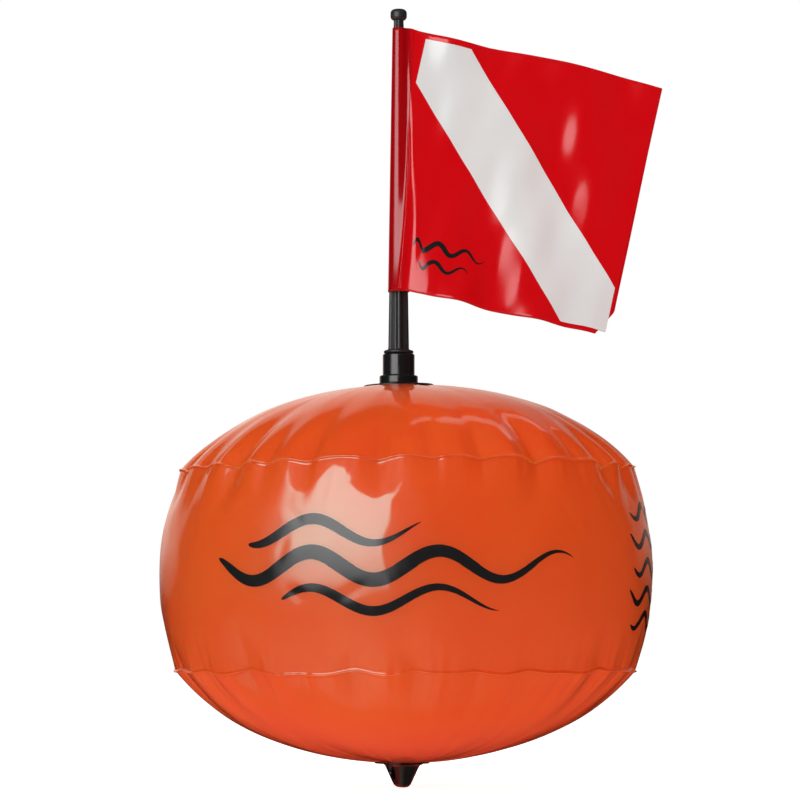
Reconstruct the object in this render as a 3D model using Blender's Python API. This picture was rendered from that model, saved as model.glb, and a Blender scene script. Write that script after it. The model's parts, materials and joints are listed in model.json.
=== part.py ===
# Dive buoy: an inflated PVC float with a mast, a diver-down flag and a line lug.
#
# Metres, +Z up. The origin is the centre of the lug's eye, where the float line
# is tied. -Y is the side with the print, and the flag flies towards +X.

import math

import bmesh
import bpy
from mathutils import Matrix, Vector

# Float: a side band and two end discs, welded along two seams and inflated.
BELLY_RADIUS = 0.1810
UPPER_TUCK = 0.0140  # the upper seam lies this much further in than the belly
LOWER_TUCK = 0.0118
BAND_HEIGHT = 0.1496
TOP_RISE = 0.0617
BOTTOM_RISE = 0.0659
TOP_SINK = 0.0400  # a dome is part of an ellipse centred this far inside its seam
BOTTOM_SINK = 0.0560
WELD_FIN = 0.0018
WELD_THICKNESS = 0.0014
FLOAT_OFFSET = 0.0028  # the bag fills a little to one side of its fittings
FLOAT_LEAN = 0.013  # and leans this far for each metre of height
SHOULDER_RISE = 0.0018  # the upper seam stands this much higher on that side

# Folds: where a flat disc is welded to the band, both are gathered. Each pair is where
# a fold meets the seam, in degrees from the front towards +X, and how deep it is.
UPPER_FRONT_FOLDS = (
    (-74, 0.8), (-60, 0.6), (-47, 1.2), (-36, 0.7), (-25, 0.8), (-7, 0.9), (6, 0.6),
    (18, 0.8), (33, 1.2), (45, 0.4), (58, 1.3), (70, 0.9), (82, 0.8),
)
LOWER_FRONT_FOLDS = (
    (-72, 0.7), (-57, 0.6), (-40, 1.2), (-26, 0.4), (-12, 1.2), (2.5, 1.1), (10, 0.4),
    (17, 0.9), (31, 1.0), (41, 0.5), (55, 1.0), (66, 0.6), (78, 0.7),
)
REAR_FOLDS = 13
REAR_DEPTH = 0.85  # on average; each one differs by up to the next value
REAR_DEPTH_SPREAD = 0.35
FOLD_DEPTH = 0.0038
LOWER_FOLD_DEPTH = 0.0023
SEAM_WAVE = 0.0036
SEAM_WAVE_REACH = 0.020
FOLD_WIDTH = 3.6
FOLD_SPREAD = 55.0  # a fold gets this many degrees wider for each metre from its seam
FOLD_ROUNDING = 1.7  # 1 is a sharp crease, 2 a round valley
DOME_FOLD_REACH = 0.090
BAND_FOLD_REACH = 0.048

# Lug under the float, a tapered block with a cross hole.
EYE_RADIUS = 0.00525
EYE_FLARE = 0.0020
LUG_TURN = 20.0
LUG_HALF_THICKNESS = 0.0080  # along the eye, at the eye's height
LUG_HALF_WIDTH = 0.0145
LUG_GROWTH = 0.259  # share gained from the eye up to the flange
LUG_TIP = 0.0110  # below the eye
LUG_TIP_ROUNDING = 0.0028
LUG_ROOT = 0.0058  # above the eye
LUG_FLANGE_RADIUS = 0.0200
LUG_FLANGE_DISH = 0.0007  # its rim bends this far with the float

# Socket on top of the float.
WELD_FLANGE_THICKNESS = 0.0009
SOCKET_FLANGE_RADIUS = 0.0258
SOCKET_RING_RADIUS = 0.0142
SOCKET_RING_HEIGHT = 0.0059
SOCKET_CUP_RADIUS = 0.0118
SOCKET_CUP_HEIGHT = 0.0160
SOCKET_FLOOR = 0.0020
SOCKET_EDGE = 0.0012

# Mast: a cross-shaped moulding that tapers to a knob.
MAST_OFFSET = -0.0025
MAST_TURN = 5.0
MAST_HEIGHT = 0.2462  # from the stop flange to the knob
MAST_FOOT_REACH = 0.0077
MAST_HEAD_REACH = 0.0037
RIB_HALF_THICKNESS = 0.0017
RIB_ROOT_FILLET = 0.0014
STOP_RADIUS = 0.0110
STOP_THICKNESS = 0.0024
SPIGOT_RADIUS = 0.0070
KNOB_RADIUS = 0.0061
KNOB_HEIGHT = 0.0084
KNOB_ROUNDING = 0.0030

# Flag: film folded round the mast and welded to itself.
FLAG_HOIST = 0.1971
FLAG_LENGTH = 0.1958
FLAG_CORNER_ALONG = 0.0110  # the lower fly corner is cut back this far
FLAG_CORNER_UP = 0.0200
FLAG_BELOW_KNOB = 0.0058
FLAG_DROOP = 12.6
FLAG_SWEEP = 5.0  # the fly end stands this much further back
FLAG_BELLY = 0.0340  # the lower edge stands this far forward
FLAG_WRAP = 90.0  # how far the weld line winds round the mast, top to bottom
FILM = 0.0005
SLEEVE_EASE = 0.0004
HEM_WIDTH = 0.0050
FLAG_BEND_TOP = 0.0100  # how much of the sheet bends away from the mast, at its top
FLAG_BEND_LOW = 0.0620  # and at its lower edge
FLAG_PLANE_OUT = 0.0067  # the flat part's line runs this far to the right of the mast
WELD_STANDOFF = 0.0021  # from the sleeve's inside to the middle of the two welded films
HANG_SHARE = 0.985  # the sheet leans, so it hangs a little shorter than its cut

# Stripe: white film on both faces, along the flag's diagonal.
STRIPE_FILM = 0.0003
STRIPE_CUT = 0.0345  # how much of each margin line the stripe's end covers
STRIPE_HOIST_MARGIN = 0.0150
STRIPE_MARGIN = 0.0048
STRIPE_FLY_MARGIN = 0.0035

# Inflation valve, on the rear of the top disc.
VALVE_RADIUS_AT = 0.0850
VALVE_FLANGE_RADIUS = 0.0160
VALVE_FLANGE_THICKNESS = 0.0008
VALVE_FILLET = 0.0012
VALVE_STEM_RADIUS = 0.0065
VALVE_STEM_HEIGHT = 0.0085
VALVE_BORE_RADIUS = 0.0042
PLUG_RADIUS = 0.0075
PLUG_THICKNESS = 0.0026
PLUG_SHANK_LENGTH = 0.0060
TAB_LENGTH = 0.0070
TAB_HALF_WIDTH = 0.0032
TAB_THICKNESS = 0.0016

SEAT_GAP = 0.0003
FIT_CLEARANCE = 0.0003

# Places that follow from the sizes above.
UPPER_SEAM_RADIUS = BELLY_RADIUS - UPPER_TUCK
LOWER_SEAM_RADIUS = BELLY_RADIUS - LOWER_TUCK
FLOAT_BOTTOM = LUG_ROOT + WELD_FLANGE_THICKNESS + SEAT_GAP
LOWER_SEAM = FLOAT_BOTTOM + BOTTOM_RISE
UPPER_SEAM = LOWER_SEAM + BAND_HEIGHT
FLOAT_TOP = UPPER_SEAM + TOP_RISE
SOCKET_FOOT = FLOAT_TOP + SEAT_GAP
SOCKET_TOP = SOCKET_FOOT + WELD_FLANGE_THICKNESS + SOCKET_RING_HEIGHT + SOCKET_CUP_HEIGHT
STOP_FOOT = SOCKET_TOP + SEAT_GAP
MAST_FOOT = STOP_FOOT + STOP_THICKNESS
KNOB_FOOT = MAST_FOOT + MAST_HEIGHT
FLAG_TOP = KNOB_FOOT - FLAG_BELOW_KNOB

# Facets.
POINTS_PER_FOLD = 5
FLOAT_DOME_RINGS = 6
FLOAT_BAND_RINGS = 5
TURNED_SEGMENTS = 32
LUG_SEGMENTS = 28
MAST_SEGMENTS = 24
VALVE_SEGMENTS = 24
SLEEVE_STEPS = 12
FLAG_ROWS = 13
STRIPE_STEP = 0.0170
SLOPE_STEP = 0.0005  # how far apart two points are taken to read a slope


def clear_scene():
    for old in list(bpy.data.objects):
        bpy.data.objects.remove(old)


def material(name, colour, roughness, metallic=0.0):
    made = bpy.data.materials.new(name)
    made.use_nodes = True
    shader = made.node_tree.nodes["Principled BSDF"]
    shader.inputs["Base Color"].default_value = (*colour, 1.0)
    shader.inputs["Roughness"].default_value = roughness
    shader.inputs["Metallic"].default_value = metallic
    return made


def solid(name, points, faces, finish, parent=None):
    """A named object from points and faces, with its normals made to point out."""
    mesh = bpy.data.meshes.new(name)
    mesh.from_pydata([tuple(p) for p in points], [], faces)
    shaped = bmesh.new()
    shaped.from_mesh(mesh)
    bmesh.ops.remove_doubles(shaped, verts=shaped.verts, dist=1e-7)
    bmesh.ops.recalc_face_normals(shaped, faces=shaped.faces)
    shaped.to_mesh(mesh)
    shaped.free()
    mesh.shade_smooth()
    mesh.set_sharp_from_angle(angle=math.radians(35))
    mesh.materials.append(finish)
    made = bpy.data.objects.new(name, mesh)
    made.parent = parent
    bpy.context.scene.collection.objects.link(made)
    return made


def lofted(rings, closed=False):
    """Points and faces through rings of equal count. A ring of one point is a pole."""
    points, faces, starts = [], [], []
    for ring in rings:
        starts.append(len(points))
        points += ring
    pairs = list(zip(range(len(rings)), range(1, len(rings))))
    if closed:
        pairs.append((len(rings) - 1, 0))
    for a, b in pairs:
        count = max(len(rings[a]), len(rings[b]))
        for k in range(count):
            n = (k + 1) % count
            corners = [
                starts[a] + (k if len(rings[a]) > 1 else 0),
                starts[a] + (n if len(rings[a]) > 1 else 0),
                starts[b] + (n if len(rings[b]) > 1 else 0),
                starts[b] + (k if len(rings[b]) > 1 else 0),
            ]
            face = [c for i, c in enumerate(corners) if c not in corners[:i]]
            faces.append(face)
    return points, faces


def turned(name, profile, finish, parent=None, segments=TURNED_SEGMENTS):
    """A solid turned about Z from (radius, height) pairs that start and end on the axis."""
    rings = []
    for radius, height in profile:
        if radius < 1e-9:
            rings.append([Vector((0, 0, height))])
            continue
        rings.append([
            Vector((radius * math.cos(a), radius * math.sin(a), height))
            for a in (math.tau * k / segments for k in range(segments))
        ])
    return solid(name, *lofted(rings), finish, parent)


def thin_disc(radius, hub, thickness, dish=0.0, steps=3):
    """(radius, height) pairs round a thin disc that bends down by dish at its rim."""
    radii = [radius * k / steps for k in range(steps + 1)]
    under = [(r, -dish * (r / radius) ** 2) for r in radii]
    over = [(r, thickness - dish * (r / radius) ** 2) for r in reversed(radii) if r > hub]
    return under + over


def arc(centre, radius, start, end, steps):
    """(radius, height) pairs along an arc, with its angles in degrees."""
    turns = [math.radians(start + (end - start) * k / steps) for k in range(steps + 1)]
    return [(centre[0] + radius * math.cos(t), centre[1] + radius * math.sin(t)) for t in turns]


def empty(name, location, rotation=(0.0, 0.0, 0.0)):
    made = bpy.data.objects.new(name, None)
    made.location = location
    made.rotation_euler = rotation
    bpy.context.scene.collection.objects.link(made)
    return made


def cutter(made):
    """Marks an object as a tool, which is not part of the buoy."""
    made.hide_render = True
    made.display_type = "WIRE"
    return made


def combine(target, tool, operation):
    change = target.modifiers.new(operation.title(), "BOOLEAN")
    change.operation = operation
    change.solver = "EXACT"
    change.object = cutter(tool)


def smoothstep(x):
    x = min(1.0, max(0.0, x))
    return x * x * (3 - 2 * x)


# Float

def folds_round(front):
    """Every fold round a seam, as (degrees, depth): those in front, then the rest behind."""
    last = front[-1][0]
    gap = front[0][0] + 360 - last
    rear = [
        (last + gap * (k + 1) / (REAR_FOLDS + 1), REAR_DEPTH + REAR_DEPTH_SPREAD * math.sin(2.3 * k))
        for k in range(REAR_FOLDS)
    ]
    return list(front) + rear


def ring_angles(front):
    """Degrees round the float, with a point in each fold and the rest between them."""
    folds = folds_round(front)
    following = folds[1:] + [(folds[0][0] + 360, 0.0)]
    angles = []
    for (here, _), (there, _) in zip(folds, following):
        angles += [here + (there - here) * k / POINTS_PER_FOLD for k in range(POINTS_PER_FOLD)]
    return angles


def drawn_in(degrees, distance, reach, front):
    """How far the folds draw the film in, with 1 in the middle of a full fold."""
    fade = smoothstep(1 - distance / reach)
    wide = FOLD_WIDTH + FOLD_SPREAD * distance
    total = 0.0
    for place, depth in folds_round(front):
        away = (degrees - place + 180) % 360 - 180
        total += depth * fade * math.exp(-abs(away / wide) ** FOLD_ROUNDING)
    return total


def lean_at(height):
    return FLOAT_LEAN * (height - (LOWER_SEAM + UPPER_SEAM) / 2)


def dome_height(radius, rim, rise, sink):
    """How far a dome stands above its seam plane, at a distance from its axis."""
    tall = rise + sink
    wide = rim / math.sqrt(1 - (sink / tall) ** 2)
    return tall * math.sqrt(1 - (radius / wide) ** 2) - sink


def band_radius(height):
    """The band's radius at a height from its middle. Its two halves are arcs."""
    half = BAND_HEIGHT / 2
    tuck = UPPER_TUCK if height > 0 else LOWER_TUCK
    bend = (half ** 2 + tuck ** 2) / (2 * tuck)
    return BELLY_RADIUS - bend + math.sqrt(bend ** 2 - height ** 2)


def gathered(radius, height, outward, distance, reach, side):
    """One ring of the film, drawn in by the folds of the seam that lies this far away.

    side is +1 at the upper seam and -1 at the lower one.
    """
    front = UPPER_FRONT_FOLDS if side > 0 else LOWER_FRONT_FOLDS
    depth = FOLD_DEPTH if side > 0 else LOWER_FOLD_DEPTH
    climb = min(1.0, max(0.0, (height - LOWER_SEAM) / BAND_HEIGHT))
    ring = []
    for low, high in zip(ring_angles(LOWER_FRONT_FOLDS), ring_angles(UPPER_FRONT_FOLDS)):
        degrees = low + (high - low) * climb
        angle = math.radians(degrees)
        drawn = drawn_in(degrees, distance, reach, front)
        r = radius - depth * drawn * outward[0]
        z = height - depth * drawn * outward[1]
        z -= side * SEAM_WAVE * drawn * math.exp(-distance / SEAM_WAVE_REACH)
        raised = SHOULDER_RISE * climb * min(1.0, r / UPPER_SEAM_RADIUS) ** 2
        ring.append(Vector((
            lean_at(z) + r * math.sin(angle),
            -r * math.cos(angle),
            z + raised * math.sin(angle),
        )))
    return ring


def dome_rings(seam, rim, rise, sink, side):
    """Rings of one end disc, from the one next to its seam to the pole."""
    rings = []
    for k in range(1, FLOAT_DOME_RINGS + 1):
        # Rings crowd towards the seam, where the folds are.
        radius = rim * (1 - (k / (FLOAT_DOME_RINGS + 0.35)) ** 1.25)
        height = dome_height(radius, rim, rise, sink)
        ahead = dome_height(radius + SLOPE_STEP, rim, rise, sink)
        outward = Vector((height - ahead, SLOPE_STEP)).normalized()
        rings.append(gathered(
            radius, seam + side * height, (outward[0], side * outward[1]),
            rim - radius, DOME_FOLD_REACH, side,
        ))
    pole = seam + side * rise
    return rings + [[Vector((lean_at(pole), 0, pole))]]


def weld_rings(seam, rim, side):
    """The welded edge where band and disc meet, as a low fin."""
    steps = ((-0.5, 0.0), (0.0, WELD_FIN), (0.5, 0.0))
    return [
        gathered(rim + fin, seam + side * share * WELD_THICKNESS, (1, 0), 0.0, BAND_FOLD_REACH, side)
        for share, fin in steps
    ]


def band_rings():
    rings = []
    middle = (LOWER_SEAM + UPPER_SEAM) / 2
    for k in range(1, FLOAT_BAND_RINGS + 1):
        # Cosine spacing puts more rings near both seams.
        height = -math.cos(math.pi * k / (FLOAT_BAND_RINGS + 1)) * BAND_HEIGHT / 2
        distance = BAND_HEIGHT / 2 - abs(height)
        side = 1 if height > 0 else -1
        radius = band_radius(height)
        rings.append(gathered(radius, middle + height, (1, 0), distance, BAND_FOLD_REACH, side))
    return rings


def make_float(finish):
    lower, upper = LOWER_SEAM_RADIUS, UPPER_SEAM_RADIUS
    rings = list(reversed(dome_rings(LOWER_SEAM, lower, BOTTOM_RISE, BOTTOM_SINK, -1)))
    rings += list(reversed(weld_rings(LOWER_SEAM, lower, -1)))
    rings += band_rings()
    rings += weld_rings(UPPER_SEAM, upper, 1)
    rings += dome_rings(UPPER_SEAM, upper, TOP_RISE, TOP_SINK, 1)
    made = solid("float_body", *lofted(rings), finish)
    made.location.x = FLOAT_OFFSET


# Lug

def lug_section(height, inset=0.0):
    """A rounded rectangle that grows with height."""
    grow = 1 + LUG_GROWTH * height / LUG_ROOT
    across = LUG_HALF_THICKNESS * grow - inset
    along = LUG_HALF_WIDTH * grow - inset
    ring = []
    for k in range(LUG_SEGMENTS):
        a = math.tau * (k + 0.5) / LUG_SEGMENTS
        c, s = math.cos(a), math.sin(a)
        ring.append(Vector((
            across * math.copysign(abs(c) ** 0.55, c),
            along * math.copysign(abs(s) ** 0.55, s),
            height,
        )))
    return ring


def make_lug(finish):
    turn = empty("lug_frame", (0, 0, 0), (0, 0, math.radians(LUG_TURN)))
    rings = [[Vector((0, 0, -LUG_TIP))]]
    for quarter in (0.0, 30.0, 60.0, 90.0):
        rise = LUG_TIP_ROUNDING * (1 - math.cos(math.radians(quarter)))
        inset = LUG_TIP_ROUNDING * (1 - math.sin(math.radians(quarter)))
        rings.append(lug_section(-LUG_TIP + rise, inset))
    root = LUG_ROOT + WELD_FLANGE_THICKNESS / 2
    rings += [lug_section(root), [Vector((0, 0, root))]]
    block = solid("tow_lug", *lofted(rings), finish, turn)
    # The disc hangs under the float, so its rim bends upwards.
    disc = thin_disc(LUG_FLANGE_RADIUS, 0.0, WELD_FLANGE_THICKNESS, LUG_FLANGE_DISH)
    over = LUG_ROOT + WELD_FLANGE_THICKNESS
    profile = [(r, over - z) for r, z in disc] + [(0, LUG_ROOT)]
    flange = turned("lug_flange_tool", profile, finish, turn)
    combine(block, flange, "UNION")
    face = LUG_HALF_THICKNESS
    beyond = 2.2 * LUG_HALF_THICKNESS
    flare = [
        (EYE_RADIUS, face - EYE_FLARE),
        (EYE_RADIUS + 0.35 * EYE_FLARE, face - 0.45 * EYE_FLARE),
        (EYE_RADIUS + EYE_FLARE, face + 0.35 * EYE_FLARE),
        (EYE_RADIUS + EYE_FLARE, beyond),
    ]
    profile = [(0, -beyond)] + [(r, -z) for r, z in reversed(flare)] + flare + [(0, beyond)]
    eye = turned("eye_tool", profile, finish, turn, 24)
    eye.rotation_euler = (0, math.radians(90), 0)
    combine(block, eye, "DIFFERENCE")


# Socket and mast

def film_drop(x, y):
    """How far the top disc lies below its highest point, at a place across the float."""
    away = math.hypot(x - FLOAT_OFFSET - lean_at(FLOAT_TOP), y)
    return TOP_RISE - dome_height(away, UPPER_SEAM_RADIUS, TOP_RISE, TOP_SINK)


def make_socket(finish):
    ring_foot = WELD_FLANGE_THICKNESS
    ring_top = ring_foot + SOCKET_RING_HEIGHT
    cup_top = ring_top + SOCKET_CUP_HEIGHT
    bore = SPIGOT_RADIUS + FIT_CLEARANCE
    edge = SOCKET_EDGE
    profile = thin_disc(SOCKET_FLANGE_RADIUS, SOCKET_RING_RADIUS, WELD_FLANGE_THICKNESS)
    profile += [(SOCKET_RING_RADIUS - edge / 2, ring_foot), (SOCKET_RING_RADIUS, ring_foot + edge)]
    profile += arc((SOCKET_RING_RADIUS - edge, ring_top - edge), edge, 0, 90, 3)
    profile += [(SOCKET_CUP_RADIUS, ring_top)]
    profile += arc((SOCKET_CUP_RADIUS - edge, cup_top - edge), edge, 0, 90, 3)
    profile += [(bore, cup_top), (bore, SOCKET_FLOOR), (0, SOCKET_FLOOR)]
    made = turned("mast_socket", profile, finish)
    made.location = (MAST_OFFSET, 0, SOCKET_FOOT)
    # The thin flange is bent down on to the film.
    for vertex in made.data.vertices:
        if math.hypot(vertex.co.x, vertex.co.y) > SOCKET_RING_RADIUS + SEAT_GAP:
            vertex.co.z -= film_drop(vertex.co.x + MAST_OFFSET, vertex.co.y)


def mast_reach(height):
    """How far a rib stands from the mast's axis, at a height above the stop flange."""
    return MAST_FOOT_REACH + (MAST_HEAD_REACH - MAST_FOOT_REACH) * height / MAST_HEIGHT


def cross_section(reach, height):
    """A cross with round rib ends and filleted roots."""
    web = min(RIB_HALF_THICKNESS, 0.42 * reach)
    root = min(RIB_ROOT_FILLET, 0.8 * (reach - 2 * web))
    ring = []
    for quarter in range(4):
        turn = Matrix.Rotation(math.radians(90 * quarter), 3, "Z")
        points = arc((reach - web, 0), web, -60, 60, 4)
        points += [(reach - web, web), (web + root, web)]
        points += arc((web + root, web + root), root, -120, -150, 1)
        points += [(web, web + root)]
        ring += [turn @ Vector((x, y, height)) for x, y in points]
    return ring


def make_mast(finish):
    turn = empty("mast_frame", (MAST_OFFSET, 0, MAST_FOOT), (0, 0, math.radians(MAST_TURN)))
    low, high = -STOP_THICKNESS / 2, MAST_HEIGHT + KNOB_ROUNDING / 2
    rings = [[Vector((0, 0, low))]]
    rings += [cross_section(mast_reach(z), z) for z in (low, MAST_HEIGHT / 2, high)]
    rings.append([Vector((0, 0, high))])
    shaft = solid("mast", *lofted(rings), finish, turn)
    spigot_foot = SOCKET_FOOT + SOCKET_FLOOR + SEAT_GAP - MAST_FOOT
    bevel = STOP_THICKNESS * 0.35
    foot = turned("mast_foot_tool", [
        (0, spigot_foot),
        (SPIGOT_RADIUS - bevel, spigot_foot),
        (SPIGOT_RADIUS, spigot_foot + bevel),
        (SPIGOT_RADIUS, -STOP_THICKNESS),
        (STOP_RADIUS - bevel, -STOP_THICKNESS),
        (STOP_RADIUS, -STOP_THICKNESS / 2 - bevel / 3),
        (STOP_RADIUS, -STOP_THICKNESS / 2 + bevel / 3),
        (STOP_RADIUS - 2 * bevel, 0),
        (0, 0),
    ], finish, turn, MAST_SEGMENTS)
    top = MAST_HEIGHT + KNOB_HEIGHT
    core = KNOB_RADIUS - KNOB_ROUNDING
    crown = KNOB_HEIGHT * 0.05
    knob = turned("knob_tool", [(0, MAST_HEIGHT)]
                  + arc((core, MAST_HEIGHT + KNOB_ROUNDING), KNOB_ROUNDING, -90, 0, 5)
                  + arc((core, top - crown - KNOB_ROUNDING), KNOB_ROUNDING, 0, 90, 5)
                  + [(0, top)], finish, turn, MAST_SEGMENTS)
    combine(shaft, foot, "UNION")
    combine(shaft, knob, "UNION")


# Flag

def flag_down():
    droop = math.radians(FLAG_DROOP)
    return Vector((-math.sin(droop), 0, -math.cos(droop))) * HANG_SHARE


def flag_along():
    droop, sweep = math.radians(FLAG_DROOP), math.radians(FLAG_SWEEP)
    flat = Vector((math.cos(droop), 0, -math.sin(droop))) * math.cos(sweep)
    return flat + Vector((0, math.sin(sweep), 0))


def weld_side(v):
    """Where the weld line stands round the mast, v below the sleeve's top, as a unit vector."""
    turn = math.radians(FLAG_WRAP) * (v / FLAG_HOIST) ** 1.25
    return Vector((math.cos(turn), -math.sin(turn), 0))


def sleeve_radius(v):
    return mast_reach(FLAG_TOP - MAST_FOOT - v) + SLEEVE_EASE


def weld_point(v):
    reach = sleeve_radius(v) + WELD_STANDOFF
    return weld_side(v) * reach + Vector((0, 0, -v))


def flat_part(u, v):
    """The sheet past its bend: the flat cut, drooping, with its lower edge forward."""
    forward = -FLAG_BELLY * (v / FLAG_HOIST) ** 1.6
    return Vector((FLAG_PLANE_OUT, forward, 0)) + flag_along() * u + flag_down() * v


def sheet_point(u, v):
    """A point of the sheet's middle, u from the weld line and v below the top edge."""
    bend = FLAG_BEND_TOP + (FLAG_BEND_LOW - FLAG_BEND_TOP) * (v / FLAG_HOIST) ** 1.5
    if u >= bend:
        return flat_part(u, v)
    start, end = weld_point(v), flat_part(bend, v)
    pull = 1.25 * (end - start).length
    leave, arrive = weld_side(v) * pull, flag_along().normalized() * pull
    t = u / bend
    return (
        start * (2 * t ** 3 - 3 * t ** 2 + 1)
        + leave * (t ** 3 - 2 * t ** 2 + t)
        + end * (3 * t ** 2 - 2 * t ** 3)
        + arrive * (t ** 3 - t ** 2)
    )


def sheet_front(u, v):
    """The unit vector out of the sheet's front face."""
    step = SLOPE_STEP
    across = sheet_point(u + step, v) - sheet_point(max(0.0, u - step), v)
    down = sheet_point(u, min(v + step, FLAG_HOIST)) - sheet_point(u, max(0.0, v - step))
    return down.cross(across).normalized()


def fly_end(v):
    """Where the sheet ends, which is short of the full length at the cut lower corner."""
    share = max(0.0, (v - FLAG_HOIST + FLAG_CORNER_UP) / FLAG_CORNER_UP)
    return FLAG_LENGTH - FLAG_CORNER_ALONG * share


def flag_section(v):
    """Front, loop, back and inner points of the flag at one height."""
    shares = [0.0, 0.001, 0.03, 0.06, 0.09, 0.12, 0.15, 0.18, 0.22, 0.27, 0.33, 0.4, 0.5]
    shares += [0.6, 0.7, 0.8, 0.9, 1.0]
    end = fly_end(v)
    stops = [HEM_WIDTH * s for s in (0.0, 0.5, 1.0)]
    stops += [HEM_WIDTH + (end - HEM_WIDTH) * s for s in shares[1:]]
    front, back = [], []
    for k, u in enumerate(stops):
        middle, out = sheet_point(u, v), sheet_front(u, v)
        hem = FILM if k < 3 else 0.0
        front.append(middle + out * (FILM / 2 + hem))
        back.append(middle - out * FILM / 2)
    inner_radius = sleeve_radius(v)
    gap = math.radians(40)
    first = math.atan2(weld_side(v).y, weld_side(v).x) - gap
    outer, inner = [], []
    for k in range(SLEEVE_STEPS + 1):
        a = first - (math.tau - 2 * gap) * k / SLEEVE_STEPS
        ray = Vector((math.cos(a), math.sin(a), 0))
        outer.append(ray * (inner_radius + FILM) + Vector((0, 0, -v)))
        inner.append(ray * inner_radius + Vector((0, 0, -v)))
    apex = weld_side(v) * (inner_radius * 1.12) + Vector((0, 0, -v))
    return front, outer, back, inner + [apex]


def make_flag(finish, frame):
    """Skins through sections down the hoist, closed by caps at the upper and lower edge."""
    rows = [flag_section(FLAG_HOIST * k / FLAG_ROWS) for k in range(FLAG_ROWS + 1)]
    skins, holes = [], []
    for front, outer, back, inner in rows:
        skins.append(list(reversed(front)) + outer + back)
        holes.append(inner)
    points, faces = lofted(skins)
    start = len(points)
    more, inside = lofted(holes)
    points += more
    faces += [[start + i for i in face] for face in inside]
    tail, loop = len(rows[0][0]), SLEEVE_STEPS + 1
    for row in (0, FLAG_ROWS):
        skin, hole = row * len(skins[0]), start + row * len(holes[0])
        first_back = skin + tail + loop
        for k in range(tail - 1):
            near, far = tail - 1 - k, tail - 2 - k
            faces.append([skin + near, skin + far, first_back + k + 1, first_back + k])
        for k in range(SLEEVE_STEPS):
            o, i = skin + tail + k, hole + k
            faces.append([o, o + 1, i + 1, i])
        apex = hole + loop
        faces.append([skin + tail - 1, skin + tail, hole, apex])
        faces.append([first_back - 1, first_back, apex, hole + loop - 1])
        faces.append([first_back, skin + tail - 1, apex])
    solid("flag_sheet", points, faces, finish, frame)


def stripe_outline():
    """The stripe's six corners on the flat cut, as (u, v)."""
    left, right = STRIPE_HOIST_MARGIN, FLAG_LENGTH - STRIPE_FLY_MARGIN
    top, low = STRIPE_MARGIN, FLAG_HOIST - STRIPE_FLY_MARGIN
    return [
        (left, top),
        (left + STRIPE_CUT, top),
        (right, low - STRIPE_CUT),
        (right, low),
        (right - STRIPE_CUT, low),
        (left, top + STRIPE_CUT),
    ]


def stripe_blank():
    """The stripe's outline cut into small flat pieces, so that it can follow the sheet."""
    blank = bmesh.new()
    blank.faces.new([blank.verts.new((u, v, 0)) for u, v in stripe_outline()])
    for axis in (0, 1):
        normal = Vector((1, 0, 0)) if axis == 0 else Vector((0, 1, 0))
        for k in range(1, int(FLAG_LENGTH / STRIPE_STEP) + 1):
            bmesh.ops.bisect_plane(
                blank, geom=blank.verts[:] + blank.edges[:] + blank.faces[:],
                plane_co=normal * (k * STRIPE_STEP), plane_no=normal, dist=1e-6,
            )
    bmesh.ops.triangulate(blank, faces=blank.faces)
    blank.verts.index_update()
    flat = [(v.co.x, v.co.y) for v in blank.verts]
    faces = [[v.index for v in f.verts] for f in blank.faces]
    rim = [[v.index for v in e.verts] for e in blank.edges if e.is_boundary]
    blank.free()
    return flat, faces, rim


def make_stripe(name, side, finish, frame):
    """White film that lies on the front (+1) or the back (-1) of the sheet."""
    flat, faces, rim = stripe_blank()
    near = side * (FILM / 2 + SEAT_GAP)
    far = near + side * STRIPE_FILM
    points = [sheet_point(u, v) + sheet_front(u, v) * near for u, v in flat]
    points += [sheet_point(u, v) + sheet_front(u, v) * far for u, v in flat]
    count = len(flat)
    skins = faces + [[i + count for i in face] for face in faces]
    walls = [[a, b, b + count, a + count] for a, b in rim]
    solid(name, points, skins + walls, finish, frame)


# Valve

def valve_frame():
    """An empty on the rear of the top disc, with its Z out of the surface."""
    place = VALVE_RADIUS_AT
    height = dome_height(place, UPPER_SEAM_RADIUS, TOP_RISE, TOP_SINK)
    beyond = dome_height(place + SLOPE_STEP, UPPER_SEAM_RADIUS, TOP_RISE, TOP_SINK)
    across = FLOAT_OFFSET + lean_at(UPPER_SEAM + height)
    tilt = math.atan((beyond - height) / SLOPE_STEP)
    return empty("valve_frame", (across, place, UPPER_SEAM + height), (tilt, 0, 0))


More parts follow.
